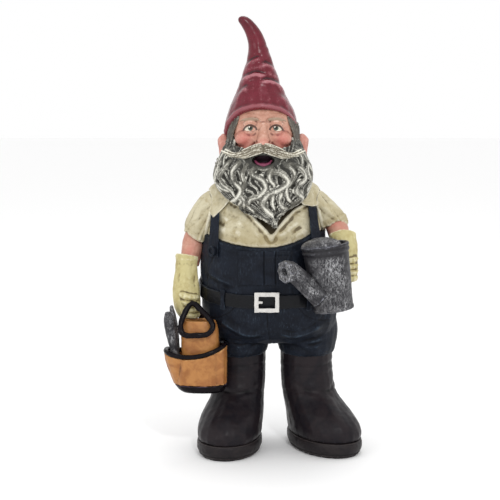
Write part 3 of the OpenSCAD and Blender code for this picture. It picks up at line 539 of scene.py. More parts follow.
def hat():
    c, p, n = begin("hat_cloth", "hat", 0.75, 4)
    outer = step(np.einsum("ij,ij->i", n, p - [-2, 2.5, 0]), -2, 3)
    # Folds across the cone, each a groove under a rolled lip, in front and behind
    xz = p[:, [0, 2]] + 0.5 * np.stack([noise(p, 8, 3), noise(p, 8, 5)], 1)
    front = step(-n[:, 1], -0.25, 0.25)
    rear = 1 - front
    d = np.zeros(len(p))
    for line, depth, w in HAT_FRONT:
        d += front * crease(xz, line, 0.8 * depth, 1.35 * w, 1.0)
    for line, depth, w in HAT_REAR:
        d += rear * crease(xz, line[::-1], 0.8 * depth, 1.35 * w, 1.0)
    d += 0.45 * fbm(p, (14, 14, 9), 11) * step(p[:, 2], 262, 300) * step(355 - p[:, 2], 0, 30)
    # The rolled edge, and a soft line above it
    up = p[:, 2] - brim_height(p[:, 1])
    d += 0.7 * bell(up - 2.2, 2.0) - 0.25 * bell(up - 6, 2.2)
    d += 0.15 * fbm(p, 3.0, 21)
    c.push(d * outer, n).smooth(3, 0.5).cavities(3, 26, (1.6, 1.5))
    # Darker towards the tip: no dry brushing or painted highlights on it, and a darker tone from z 345 up.
    c.att["edge"] *= step(345 - p[:, 2], 0, 30)
    c.att["cav"] = np.clip(c.att["cav"] + 0.35 * step(p[:, 2], 345, 368), 0, 1)
    c.att["low"] = step(-up, -11, 2)
    # The pale tone paints highlights on the glossy hat's ridges, and the dark tone paints the shade in its folds.
    mat = painted("hat_paint", srgb(94, 14, 30), srgb(108, 27, 43), srgb(36, 7, 14), srgb(186, 122, 130),
                  rough=0.27, wash_shade_at=(0.04, 0.7), drybrush_highlight_at=(0.1, 0.75), blotch=16, drybrush_highlight_amount=0.65,
                  wash_shade_amount=0.75, grain=0.05, coat=0.1, spec=0.3,
                  extra=lambda q, col: brush(q, col, "low", srgb(104, 16, 30), 0.5, 0, 1))
    c.done(mat, "hat")


# ---- head

EYE = np.array([10.6, -22.9, 276.6])
EYE_R = 5.3


def head():
    parts = cad_parts("head")
    for s in (-1, 1):
        def line(*points):
            return curve(mirrored(s, points), 5)

        def lump(at, radius, flat, sub=3):
            parts.append(ball(mirrored(s, [at])[0], radius, flat, sub))
        lump(EYE, EYE_R, (1, 1, 1), 4)
        upper = line((5.4, -25.9, 275.9), (7.4, -28.0, 278.6), (11, -28.6, 279.9), (14.4, -26.6, 278.4),
                     (16.4, -24.0, 275.4))
        lower = line((5.8, -26.0, 275.4), (8, -27.9, 273.6), (11, -28.0, 273.0), (14, -26.3, 273.8),
                     (16.2, -23.8, 275.2))
        parts.append(tube(upper, share(upper, [0, .5, 1], [0.9, 1.35, 0.9])))
        parts.append(tube(lower, share(lower, [0, .5, 1], [0.7, 1.1, 0.8])))
        parts.append(tube(line((6, -27.2, 280.2), (10.8, -29.0, 282.4), (16, -25.6, 279.8)), 1.3))
        # Wing of the nose, cheek, and the nose's flank
        lump((4.8, -32.2, 262.6), 3.3, (1, 1.1, 0.95))
        lump((15.5, -22.2, 267.5), 8.0, (1.05, 0.9, 0.8))
        lump((8.3, -25.2, 268.2), 5.5, (1, 0.9, 0.9))
        flank = line((2.6, -27.6, 280.5), (3.4, -28.2, 275), (4.6, -29.2, 269.5), (5.6, -29.4, 265))
        parts.append(tube(flank, share(flank, [0, 1], [1.9, 3.0]), up=(1, 0, 0)))
        # Tufts of the brow
        for k in range(5):
            q = curve(mirrored(s, [(3.8 + 2.6 * k, -28.5 + 0.4 * k, 283.0 + 0.6 * k - 0.13 * k * k),
                                   (5.8 + 2.7 * k, -28.8 + 0.62 * k, 284.4 + 0.6 * k - 0.2 * k * k),
                                   (8.2 + 2.9 * k, -28.0 + 0.9 * k, 284.8 + 0.4 * k - 0.3 * k * k)]), 4)
            parts.append(tube(q, share(q, [0, .4, 1], [0.8, 1.3, 0.5])))
    parts.append(ball((1, -36.6, 263.9), 4.3, (1.05, 0.95, 0.95)))
    bridge = curve([(1, -28.4, 281), (1, -30.2, 276), (1, -33.2, 270), (1, -35.6, 265.4), (1, -35.2, 262.4)], 5)
    parts.append(tube(bridge, share(bridge, [0, .4, .8, 1], [2.2, 2.3, 3.7, 3.2]), sides=14, up=(1, 0, 0)))
    # The lower lip and the floor of the mouth, parted under the moustache
    lip = curve([(-6.4, -36, 250.6), (-3, -40.4, 247.4), (1, -41.6, 246.4), (5, -40.4, 247.4),
                 (8.4, -36, 250.6)], 5)
    parts.append(tube(lip, share(lip, [0, .5, 1], [1.0, 2.0, 1.0])))
    parts.append(ball((1, -34, 246.6), 7.0, (1.05, 1.0, 0.28)))
    c = Clay("head_skin", parts, 0.56)
    c.smooth(3, 0.5)
    near = np.stack([np.abs(c.p[:, 0] - MIDDLE), c.p[:, 1], c.p[:, 2]], 1) - EYE
    nose = step(4.9 - np.abs(c.p[:, 0] - MIDDLE), -0.6, 0.6)
    c.smooth(7, 0.5, np.maximum(step(np.linalg.norm(near, axis=1), 7, 9), nose))
    p, n = c.p, c.normals()
    ax = np.abs(p[:, 0] - MIDDLE)
    xz = np.stack([ax, p[:, 2]], 1)
    front = step(-p[:, 1], 12, 20)
    from_eye = np.stack([ax, p[:, 1], p[:, 2]], 1) - EYE
    eye = np.linalg.norm(from_eye, axis=1)
    ball_seen = (eye < EYE_R + 0.35) & (p[:, 1] < -23)
    # Nostrils, then the creases from the nose, under the eyes, across the brow and at the eyes' corners
    d = -0.9 * bell(np.hypot((ax - 4.6) / 1.3, (p[:, 2] - 260.3) / 1.0), 1.0) * step(-p[:, 1], 31, 33)
    d -= 0.8 * bell(gap(xz, [(5.5, 265.5), (9.5, 262.5), (12.5, 258.5)]), 1.1) * front
    d -= 0.35 * bell(gap(xz, [(6.5, 272.2), (10.5, 270.4), (15.5, 271.6)]), 1.1) * front
    for k in (288.0, 291.6):
        d -= 0.3 * bell(p[:, 2] - k - 0.012 * ax ** 2 - 0.5 * noise(p, 7, 5), 1.1) * front * step(20 - ax, 0, 6)
    d -= 0.25 * (bell(gap(xz, [(17.6, 276.4), (20.5, 277.6), (22, 279.4)], 4), 0.8)
                 + bell(gap(xz, [(17.6, 274.6), (20.8, 273.6), (22.6, 271.8)], 4), 0.8)) * front
    # Ears: a rim round a hollow
    ear = np.stack([p[:, 1] - 1.2, p[:, 2] - 259.5], 1)
    out = step(ax, 28.5, 30.5)
    r = np.hypot(ear[:, 0] / 5.6, ear[:, 1] / 8.0)
    d += out * (0.5 * bell(r - 0.95, 0.2) - 2.6 * bell(r, 0.5)) * step(-n[:, 1], -0.5, 0.2)
    d += 0.16 * fbm(p, 2.6, 31) * ~ball_seen
    c.push(d, n).smooth(1, 0.3, (~ball_seen).astype(float)).cavities(3, 20, (1.3, 1.5))
    look = from_eye / np.maximum(eye, 1e-6)[:, None]
    a = np.degrees(np.arccos(np.clip(look @ (np.array([0.0, -1, 0.04]) / math.hypot(1, 0.04)), -1, 1)))
    seen = (np.abs(eye - EYE_R) < 0.45) & (p[:, 1] < -23)
    c.att["white"] = seen.astype(float)
    c.att["iris"] = seen * step(-a, -27, -22)
    c.att["pupil"] = seen * step(-a, -14, -10)
    glint = np.hypot(p[:, 0] - MIDDLE - np.sign(p[:, 0] - MIDDLE) * EYE[0] + 1.0, p[:, 2] - EYE[2] - 1.4)
    c.att["glint"] = seen * step(-glint, -1.0, -0.6)
    over = gap(xz, [(5.4, 275.9), (7.4, 278.2), (11, 279.3), (14.4, 277.9), (16.6, 275.0)])
    under = gap(xz, [(5.8, 275.4), (8, 273.9), (11, 273.4), (14, 274.1), (16.2, 275.2)])
    lash = np.clip(step(-over, -1.1, -0.5) + 0.5 * step(-under, -0.8, -0.3), 0, 1)
    c.att["lash"] = lash * front * step(-p[:, 1], 22, 24)
    cheek = (p - [1, 0, 0]) * [1, .6, 1] - np.sign(p[:, [0]] - 1) * [16, 0, 0] - [0, -14, 266]
    c.att["blush"] = np.clip(bell(np.linalg.norm(cheek, axis=1), 7.5)
                             + 0.8 * bell(np.linalg.norm(p - [1, -37, 264], axis=1), 4.2), 0, 1)
    brow = gap(xz, [(4.2, 283.0), (8.5, 284.6), (13.5, 284.6), (18.8, 282.2)])
    c.att["brow"] = step(-brow, -2.3, -1.2) * front * step(-HEAD.depth(p), 0.3, 0.9)
    c.att["lip"] = step(-p[:, 1], 22, 24) * step(256.5 - p[:, 2], 0, 1) * step(11 - ax, 0, 1)
    c.att["throat"] = c.att["lip"] * step(p[:, 1], -36.5, -33.5)
    c.att["ear"] = out

    def extra(q, col):
        col = q.mix(q.mul(q.att("blush"), 0.75), col, srgb(196, 98, 94))
        col = q.mix(q.mul(q.att("ear"), 0.45), col, srgb(194, 112, 106))
        col = brush(q, col, "brow", srgb(138, 120, 100), 0.8)
        lip = q.mix(q.ramp(q.att("cav"), 0.1, 0.6), srgb(124, 56, 82), srgb(52, 20, 36))
        col = brush(q, col, "lip", lip)
        col = brush(q, col, "throat", srgb(46, 16, 32))
        col = brush(q, col, "white", srgb(214, 206, 188))
        col = brush(q, col, "iris", srgb(74, 82, 70))
        col = brush(q, col, "pupil", srgb(14, 13, 12))
        col = brush(q, col, "lash", srgb(46, 28, 22), 0.85)
        return brush(q, col, "glint", srgb(235, 232, 224))
    # The pale tone paints highlights on the nose and cheeks, and the dark tone paints the shade in the creases.
    mat = painted("skin_paint", srgb(182, 132, 112), srgb(196, 152, 132), srgb(84, 46, 34),
                  srgb(234, 202, 186), rough=0.42, wash_shade_at=(0.03, 0.55), drybrush_highlight_at=(0.15, 0.8), blotch=7,
                  drybrush_highlight_amount=0.75, wash_shade_amount=0.9, grain=0.04, coat=0.08, spec=0.35, extra=extra)
    c.done(mat, "head")
    return mat


# ---- hair and beard

def hair_paint(name, dark, mid, drybrush_highlight, grain=0.06, drybrush_highlight_at=(0.1, 0.75)):
    return painted(name, mid, dark, tuple(v * 0.45 for v in dark), drybrush_highlight, rough=0.55, wash_shade_at=(0.1, 0.6),
                   drybrush_highlight_at=drybrush_highlight_at, blotch=7, drybrush_highlight_amount=0.95, grain=grain)


# Wavy locks of the beard as x, z in front view: then half width and how far each stands out
LOCKS = [
    ([(-33, 250), (-37, 242), (-39, 234), (-34, 227.5), (-26, 225)], 2.7, 0.5),
    ([(-26, 251), (-31, 243), (-34, 237), (-32, 231), (-25, 226), (-22, 221)], 2.5, 1.6),
    ([(-18, 250), (-24, 241), (-22, 233), (-17, 227), (-20, 220), (-25, 216)], 2.8, 2.0),
    ([(-12, 248), (-16, 239), (-14, 231), (-17.5, 224), (-14, 217), (-15, 211)], 2.2, 0.6),
    ([(-5, 246), (-8, 240), (0, 235), (3, 228), (-2, 222), (-9, 219.5), (-11, 213.5), (-5, 208)], 2.7, 2.1),
    ([(5, 241), (15, 240.5), (21, 233), (14, 227), (4, 222), (0.5, 215), (6, 208), (12.5, 203),
      (11.5, 197)], 3.0, 2.4),
    ([(23, 248), (32, 243), (35, 235), (29, 230), (28, 224), (33, 219), (30, 214)], 2.8, 2.0),
    ([(17, 226), (14, 218), (19, 212), (24, 210.5)], 2.3, 1.6),
    ([(35, 252), (41, 241), (41, 230), (37, 221)], 2.5, 0.3),
    ([(18, 249), (26, 241), (25, 234), (20, 228), (21, 220), (26, 215)], 2.2, 0.6),
    ([(8, 244), (6, 236), (10, 230), (9, 222), (9, 214), (15, 207), (12, 200)], 2.3, 0.2),
    ([(-24, 223), (-17, 218), (-19, 212), (-11, 208), (-3, 205), (5, 200)], 2.4, 0.7),
    ([(30, 227), (33, 222), (28, 215), (24, 209), (18, 204)], 2.3, 0.2),
    ([(-7, 246.5), (1, 243.4), (9, 246.5)], 1.7, 1.2),
]
# The same at the sides, as turns from the front in degrees, and z
SIDE_LOCKS = [([(side * turn, z) for turn, z in line], width, out) for line, width, out in (
    ([(60, 262), (68, 250), (62, 240), (70, 231), (64, 224)], 2.5, 0.8),
    ([(82, 260), (76, 251), (84, 242), (78, 233)], 2.5, 0.4),
    ([(50, 260), (56, 252), (50, 244)], 2.0, 0.8)) for side in (-1, 1)]


def front_of(form, q, out):
    """Points on the front of form from x, z in front view"""
    x, y, a, b, s = form.at(q[:, 1])
    u = np.clip((q[:, 0] - x) / a, -0.985, 0.985)
    py = y - b * (1 - np.abs(u) ** s) ** (1 / s)
    on = np.stack([q[:, 0], py, q[:, 1]], 1)
    away = np.stack([u / a, (py - y) / b ** 2 + 0 * u, 0 * u - 0.004], 1)
    away /= np.linalg.norm(away, axis=1)[:, None]
    return on + away * out, away


def lock(form, points, width, out, by_turn=False):
    """One lock: five strands side by side on a rounded back, drawn together at the tip"""
    q = curve(points, 6)
    t = np.linspace(0, 1, len(q))
    if by_turn:
        on = form.point(q[:, 1], q[:, 0], out)
        away = on - form.point(q[:, 1], q[:, 0], out - 1)
    else:
        on, away = front_of(form, q, out)
    across = np.cross(np.gradient(on, axis=0), away)
    across /= np.linalg.norm(across, axis=1)[:, None]
    spread = 0.48 * width * np.interp(t, [0, 0.2, 0.5, 0.85, 1], [0.6, 0.95, 1.0, 0.6, 0.12])
    taper = 0.31 * width * np.interp(t, [0, 0.12, 0.45, 0.85, 1], [0.7, 0.95, 1.0, 0.8, 0.45])
    strands = []
    for k in range(-2, 3):
        wave = k + 0.25 * np.sin(t * (6 + k) + points[0][0] + 2 * k)
        drop = 0.3 * width * (k / 2) ** 2 * np.minimum(spread / width * 2, 1) + 0.18 * (k % 2)
        drop = drop + 2.6 * step(0.16 - t, 0, 0.16)
        strands.append((on + across * (wave * spread)[:, None] - away * drop[:, None], taper, away))
    return strands, on


def beard_waves(p):
    """The relief between the locks: wavy hanks drawn in to the tip, each made of strands"""
    x, y = BEARD.at(p[:, 2])[:2]
    h = 40 * np.arctan2(p[:, 0] - x, -(p[:, 1] - y))
    pull = np.clip((p[:, 2] - 190) / 60, 0.08, 1) ** 0.6
    w = (h - 4) / pull
    phase = 1.3 * np.sin(w / 8.5) + 1.1 * noise(np.stack([w, 0 * w, p[:, 2] * 0.2], 1), 12, 67)
    u = w + 3.6 * np.sin(p[:, 2] / 3.9 + phase) + 1.2 * np.sin(p[:, 2] / 2.1 + 2 * phase)
    return np.abs(np.cos(np.pi * u / 7.6)), np.abs(np.cos(np.pi * u / 1.9 + phase))


def beard():
    parts = cad_parts("beard")
    middles, streaks = [], []
    for group, by_turn in ((LOCKS, False), (SIDE_LOCKS, True)):
        for points, width, out in group:
            strands, on = lock(BEARD, points, width, 0.55 * out + 0.5, by_turn)
            middles.append((on, width))
            streaks += [(strands[k][0], lit, width) for k, lit in enumerate((0.4, 0.75, 1.0, 0.75, 0.4))]
            parts.extend(tube(path, radius, 0.95, 9, away) for path, radius, away in strands)
    c = Clay("beard_locks", parts, 0.56)
    c.smooth(1, 0.4)
    p = c.p
    n = c.normals()
    best = np.full(len(p), 1e9)
    ends = np.zeros(len(p))
    for on, width in middles:
        dist, along, _ = near_line(p, on)
        ends = np.where(dist / width < best, step(along, 0.0, 0.22) * step(1 - along, -0.1, 0.15), ends)
        best = np.minimum(best, dist / width)
    # Pale lines along each lock's strands, brightest on the middle one: dry brushing that also paints highlights
    # on the locks' crowns.
    drybrush_highlight_lines = np.zeros(len(p))
    for path, lit, width in streaks:
        drybrush_highlight_lines = np.maximum(drybrush_highlight_lines, lit * bell(near_line(p, path)[0], 0.26 * width))
    drybrush_highlight_lines *= step(noise(p, 5.5, 69) + 0.6 * noise(p, (1.5, 1.5, 4), 70), -0.65, 0.35)
    between = step(best, 0.85, 1.2) * step(-BEARD.depth(p), -1.2, -0.4)
    hank, strand = beard_waves(p)
    mouth = step(np.hypot((p[:, 0] - MIDDLE) / 12.5, (p[:, 2] - 250.5) / 6.6), 1.2, 0.9) * step(-p[:, 1], 20, 26)
    tip = 2.2 * step(216 - p[:, 2], 0, 12) * step(np.abs(n[:, 0]), 0.2, 0.7)
    d = (1.9 * hank + 0.4 * strand - 1.3) * between * (1 - mouth)
    rear = step(n[:, 1], 0.35, 0.8)
    comb = np.abs(np.cos(np.pi * (p[:, 0] + 1.6 * np.sin(p[:, 2] / 4.5)) / 4.2))
    d += rear * (0.9 * comb - 0.6)
    c.push(d - tip + 0.1 * fbm(p, (1.4, 1.4, 4), 63), n).smooth(4, 0.5, mouth).cavities(2, 22, (1.4, 0.6))
    crest = np.maximum(drybrush_highlight_lines, between * 0.28 * step(hank, 0.5, 1.0) * (0.4 + 0.6 * strand))
    crest = np.maximum(crest, rear * 0.4 * step(comb, 0.5, 1))
    spine = 0.66 * bell(best, 0.5) * step(noise(p, (7, 7, 9), 72), -0.7, 0.3)
    crest = np.maximum(crest, spine) * (0.35 + 0.65 * ends)
    c.att["edge"] = np.clip(0.45 * c.att["edge"] + 0.95 * crest, 0, 1) * (1 - mouth)
    # Darker between the locks and round the mouth: a darker tone that also paints the shade in these hollows.
    c.att["cav"] = np.clip(0.8 * c.att["cav"] + 0.6 * (1 - crest) * step(best, 0.6, 1.1) + 0.4 * mouth, 0, 1)
    c.p[:, 0] -= 5.5 * step(p[:, 0] - 8, 0, 9) * bell(p[:, 2] - 204, 8)
    c.done(hair_paint("beard_paint", srgb(62, 61, 54), srgb(94, 92, 83), srgb(226, 224, 212), 0.08,
                      (0.06, 0.68)), "beard")


def moustache():
    parts = []
    for s in (-1, 1):
        base = curve(mirrored(s, [(-1, -36.0, 260.6), (7, -37.6, 259.0), (16, -35.4, 255.6), (24, -30.6, 254.4),
                                  (29, -26.5, 256)]), 6)
        parts.append(tube(base, 2.6 * share(base, [0, .3, .8, 1], [1, 1.15, 0.8, 0.4])))
        # Strands from the top edge down: heights at the middle and the sweep, then where each ends
        for k, (a, b, end, z) in enumerate((
                (3.3, 3.5, 24, 257.6), (2.3, 2.4, 32, 259.4), (1.1, 1.2, 35, 258.2), (-0.2, -0.1, 33.5, 256.2),
                (-1.5, -1.5, 30, 253.6), (-2.7, -2.8, 23, 251.6))):
            bulge = 1.7 * (1 - (b / 4.4) ** 2)
            wave = 0.4 * math.sin(2.1 * k)
            q = curve(mirrored(s, [
                (0.1, -38.4 - bulge, 260.6 + a), (7, -40.0 - bulge, 259.0 + b + wave),
                (15, -38.2 - bulge, 255.6 + b - wave),
                (0.5 * (15 + end), -34.6 - bulge + 0.12 * (end - 15), 254.0 + 0.7 * b),
                (end, -28.6 + 0.2 * (36 - end) - 0.5 * bulge, z)]), 6)
            parts.append(tube(q, 1.4 * share(q, [0, .15, .6, 1], [0.75, 1, 0.9, 0.4]), 0.9, 8))
    c = Clay("moustache_locks", parts, 0.36)
    c.smooth(1, 0.35)
    c.push(0.14 * fbm(c.p, (5, 1.2, 1.2), 71)).cavities(6, 24, (2.2, 0.9))
    c.done(hair_paint("moustache_paint", srgb(80, 70, 54), srgb(126, 118, 100), srgb(228, 224, 208), 0.08,
                      (0.02, 0.4)), "moustache")


def hair():
    parts = cad_parts("hair")
    # Strands down the temples, from under the hat to the beard
    for s in (-1, 1):
        for k, t in enumerate(range(56, 90, 5)):
            z = np.linspace(286, 256, 14)
            q = s * (t + 3.0 * np.sin(z / 4.2 + 1.3 * k) - 0.12 * (z - 270))
            out = np.interp(z, [256, 270, 286], [2.6, 1.6, 0.2])
            on = HEAD.point(z, q, out)
            parts.append(tube(on, 1.7 * np.interp(np.arange(14), [0, 4, 13], [0.8, 1, 0.7]), 0.8, 8,
                              on - HEAD.point(z, q, out - 1)))
    c = Clay("hair_locks", parts, 0.55)
    c.smooth(1, 0.5)
    p = c.p
    t = np.degrees(np.arctan2(p[:, 0] - 1, -(p[:, 1])))
    w = t / 6.0 + 0.16 * (p[:, 2] - 250) * np.sin(t * 0.05 + 1) + 0.9 * np.sin(p[:, 2] / 4.6 + t * 0.04)
    back = step(np.abs(t), 78, 96)
    d = back * (0.75 * np.cos(w * np.pi * 0.9) + 0.28 * np.cos(w * np.pi * 3.7)) + 0.25 * fbm(p, (1.5, 1.5, 5), 81)
    # What the hat covers stays inside it
    under = step(p[:, 2] - brim_height(p[:, 1]), -4, 0) * back
    c.push(d * (1 - under) - 1.6 * under).smooth(1, 0.3).cavities(2, 16, (2.4, 0.9))
    c.done(hair_paint("hair_paint", srgb(58, 52, 46), srgb(84, 78, 70), srgb(150, 146, 134), 0.06,
                      (0.15, 0.85)), "hair")


# ---- shirt

SHIRT = dict(base=srgb(198, 190, 162), other=srgb(178, 167, 134), wash_shade=srgb(80, 66, 40), drybrush_highlight=srgb(234, 230, 212))


def shirt_mat():
    def extra(p, col):
        stain = p.noise(13, 5, 0.65, 0.8, None, 21.0)
        low = p.ramp(stain, 0.52, 0.72)
        col = p.mix(p.mul(low, 0.5), col, srgb(140, 120, 74))
        # Dark patches all over, stronger where low is set, then a darker tone there too: low is set on the lower
        # shirt front and towards the sleeves' hems.
        dark_patches = p.ramp(p.noise(4.5, 6, 0.75, 0.8, None, 33.0), 0.5, 0.7)
        col = p.mix(p.mul(dark_patches, p.add(0.28, p.mul(p.att("low"), 0.5))), col, srgb(112, 98, 62))
        col = p.mix(p.mul(p.att("low"), 0.5), col, srgb(146, 130, 88))
        # Painted shade inside the V, where dark is set.
        return p.mix(p.ramp(p.att("dark"), 0.3, 0.7), col, srgb(52, 44, 26))
    return painted("shirt_paint", rough=0.6, wash_shade_at=(0.04, 0.6), drybrush_highlight_at=(0.2, 0.95), blotch=14,
                   wash_shade_amount=0.9, drybrush_highlight_amount=0.6, grain=0.05, extra=extra, **SHIRT)


LAPELS = [curve([(-28, 217.5), (-16, 212), (-9, 206), (-2, 198.5), (4, 192), (7.6, 186.5)], 6),
          curve([(35, 213), (27, 209), (20, 202.5), (14, 196), (10, 190.5), (7.6, 186.5)], 6)]


def shirt(mat):
    c, p, n = begin("shirt_cloth", "shirt", 0.8, 3)
    face = step(-n[:, 1], 0.1, 0.5) * step(-p[:, 1], 5, 12)
    xz = p[:, [0, 2]]
    d = np.zeros(len(p))
    rim = np.zeros(len(p))
    for line in LAPELS:
        r = near_line(xz, line)[0]
        d += face * (0.9 * bell(r - 0.9, 1.1) - 0.35 * bell(r - 4, 1.8))
        rim = np.maximum(rim, bell(r, 1.2) * face)
    # Soft pulls from the lapels' foot and from the straps
    back = step(n[:, 1], 0.1, 0.5)
    front_pull, back_pull = (face, 0.6, 2.2), (back, 0.5, 2)
    for line, depth, w, (mask, hollow, off) in (
            ([(8, 187), (20, 191), (32, 200)], 0.6, 2.2, front_pull),
            ([(-38, 190), (-28, 193), (-16, 189)], 0.6, 2.4, front_pull),
            ([(-36, 204), (-27, 199), (-14, 196)], 0.5, 2.4, front_pull),
            ([(40, 192), (30, 189), (20, 185)], 0.5, 2.2, front_pull),
            ([(-40, 200), (-15, 192), (5, 196)], 0.8, 3, back_pull),
            ([(42, 204), (20, 196), (4, 192)], 0.8, 3, back_pull),
            ([(-38, 184), (-10, 180), (30, 184)], 0.6, 3, back_pull)):
        r, along, _ = near_line(xz, curve(line, 5))
        d += mask * depth * (bell(r, w) - hollow * bell(r - off * w, w)) * ends_fade(along, 0.2)
    d += 0.45 * fbm(p, 12, 101) + 0.14 * fbm(p, 3, 111)
    c.push(d * step(BODY.depth(p), 3.5, 2.5), n).smooth(1, 0.4).cavities(3, 28, (2.6, 2.2))
    depth = BODY.depth(p)
    # The inside of the V, cut only shallow, is painted near-black brown as painted shade.
    inside_v = step(depth, 1.1, 1.8) * face * (p[:, 2] > 187) * (p[:, 2] < 216) * (np.abs(p[:, 0] - 6) < 36)
    c.att["dark"] = inside_v
    # The lapels' rolled edges dry brushed paler, which also paints highlights along them.
    c.att["edge"] = np.clip(c.att["edge"] + 0.7 * rim, 0, 1)
    c.att["low"] = step(-p[:, 2], -196, -183) * face
    c.done(mat, "shirt")


def collar(mat):
    c, p, n = begin("collar_cloth", "collar", 0.6, 3)
    c.push(0.5 * fbm(p, 9, 121) + 0.12 * fbm(p, 2.5, 125), n).smooth(1, 0.4).cavities(3, 26, (2.6, 2.0))
    c.att["low"] = np.zeros(len(p))
    c.att["dark"] = np.zeros(len(p))
    c.done(mat, "collar")


def sleeve(side, mat):
    name = "left_sleeve" if side > 0 else "right_sleeve"
    c, p, n = begin(name + "_cloth", name, 0.6, 3)
    top = np.array([38.0 * side, 4, 220])
    end = np.array([62.0 * side, -3, 184 if side < 0 else 192])
    axis = (end - top) / np.linalg.norm(end - top)
    s = (p - top) @ axis
    length = np.linalg.norm(end - top)
    q = p - top - s[:, None] * axis
    ang = np.degrees(np.arctan2(q[:, 0] * side, -q[:, 1]))
    d = np.zeros(len(p))
    for a0, lean, w, depth in ((-10, 0.9, 2.2, 1.1), (-55, 0.5, 2.4, 1.0), (40, -0.6, 2.2, 0.9),
                               (95, 0.8, 2.6, 0.9), (150, -0.7, 2.6, 0.9), (-110, 0.6, 2.6, 1.0)):
        u = ((ang - a0 - lean * (s - 14) + 180) % 360 - 180) * 0.2
        u = u + 0.8 * noise(p, 8, 131)
        d += 0.7 * depth * (0.6 * bell(u - w, w) - bell(u, w * 0.7)) * step(s, 3, 12)
    # The inner side lies against the body
    d += 2.6 * step(-n[:, 0] * side, 0.2, 0.7) * step(s, 10, 20)
    # The hem: a rim, a stitched line above it, and a ragged edge
    hem = length - s + 1.5 * noise(p, 6, 141)
    d += 0.5 * bell(hem - 1.2, 1.4) - 0.25 * bell(hem - 4.6, 1.3)
    d += 0.3 * fbm(p, 6, 151) + 0.12 * fbm(p, 2.4, 155)
    c.push(d, n).smooth(1, 0.4).cavities(3, 20, (2.4, 1.2))
    c.att["low"] = 0.7 * step(s, 0.55 * length, length)
    c.att["dark"] = np.zeros(len(p))
    c.done(mat, name)


# ---- overalls

def denim_mat():
    p = Paint("denim_paint")
    blot = p.noise(14, 4, 0.6, 0.8)
    col = p.mix(p.ramp(blot, 0.35, 0.68), srgb(22, 27, 37), srgb(14, 17, 25))
    up = p.noise(1.0, 6, 0.75, 0.6, p.place((1, 1, 0.18)), 2.0)
    slant = p.noise(1.3, 6, 0.75, 0.8, p.place((1, 1, 0.25), (0, 38, 0)), 9.0)
    patch = p.ramp(p.noise(20, 3, 0.6, 0.5, None, 6.0), 0.42, 0.62)
    bare = p.ramp(p.noise(24, 3, 0.6, 0.5, None, 16.0), 0.35, 0.65, 0.2, 0.85)
    col = p.mix(p.mul(p.ramp(p.mix(patch, up, slant), 0.5, 0.66), bare), col, srgb(54, 64, 76))
    # Darker in the hollows, which paints their shade, and paler dry brushing on what stands proud, which also
    # paints highlights.
    col = p.over(col, srgb(6, 7, 12), p.vary("cav", up, 0.5), 0.08, 0.6, 0.85)
    col = p.over(col, srgb(76, 92, 108), p.vary("edge", up, 1.6), 0.45, 1.3, 0.5)
    r = p.ramp(p.noise(6, 3, 0.6, 0, None, 11.0), 0.3, 0.7, 0.46, 0.62, "LINEAR")
    return p.finish(col, r, p.bump(p.add(p.mul(up, 0.7), p.mul(slant, 0.3)), 0.12), 0.0, 0.3, 0.12)


def bib_line(p):
    """Depth below the bib's top edge, which is lowest in the middle"""
    u = (p[:, 0] - 4) / 62
    return 178.5 + np.minimum(np.where(u < 0, 12, 28) * u * u, 10.5) - p[:, 2]


def belt_line(p):
    return p[:, 2] - (141 + p[:, 1] * math.tan(math.radians(8)))


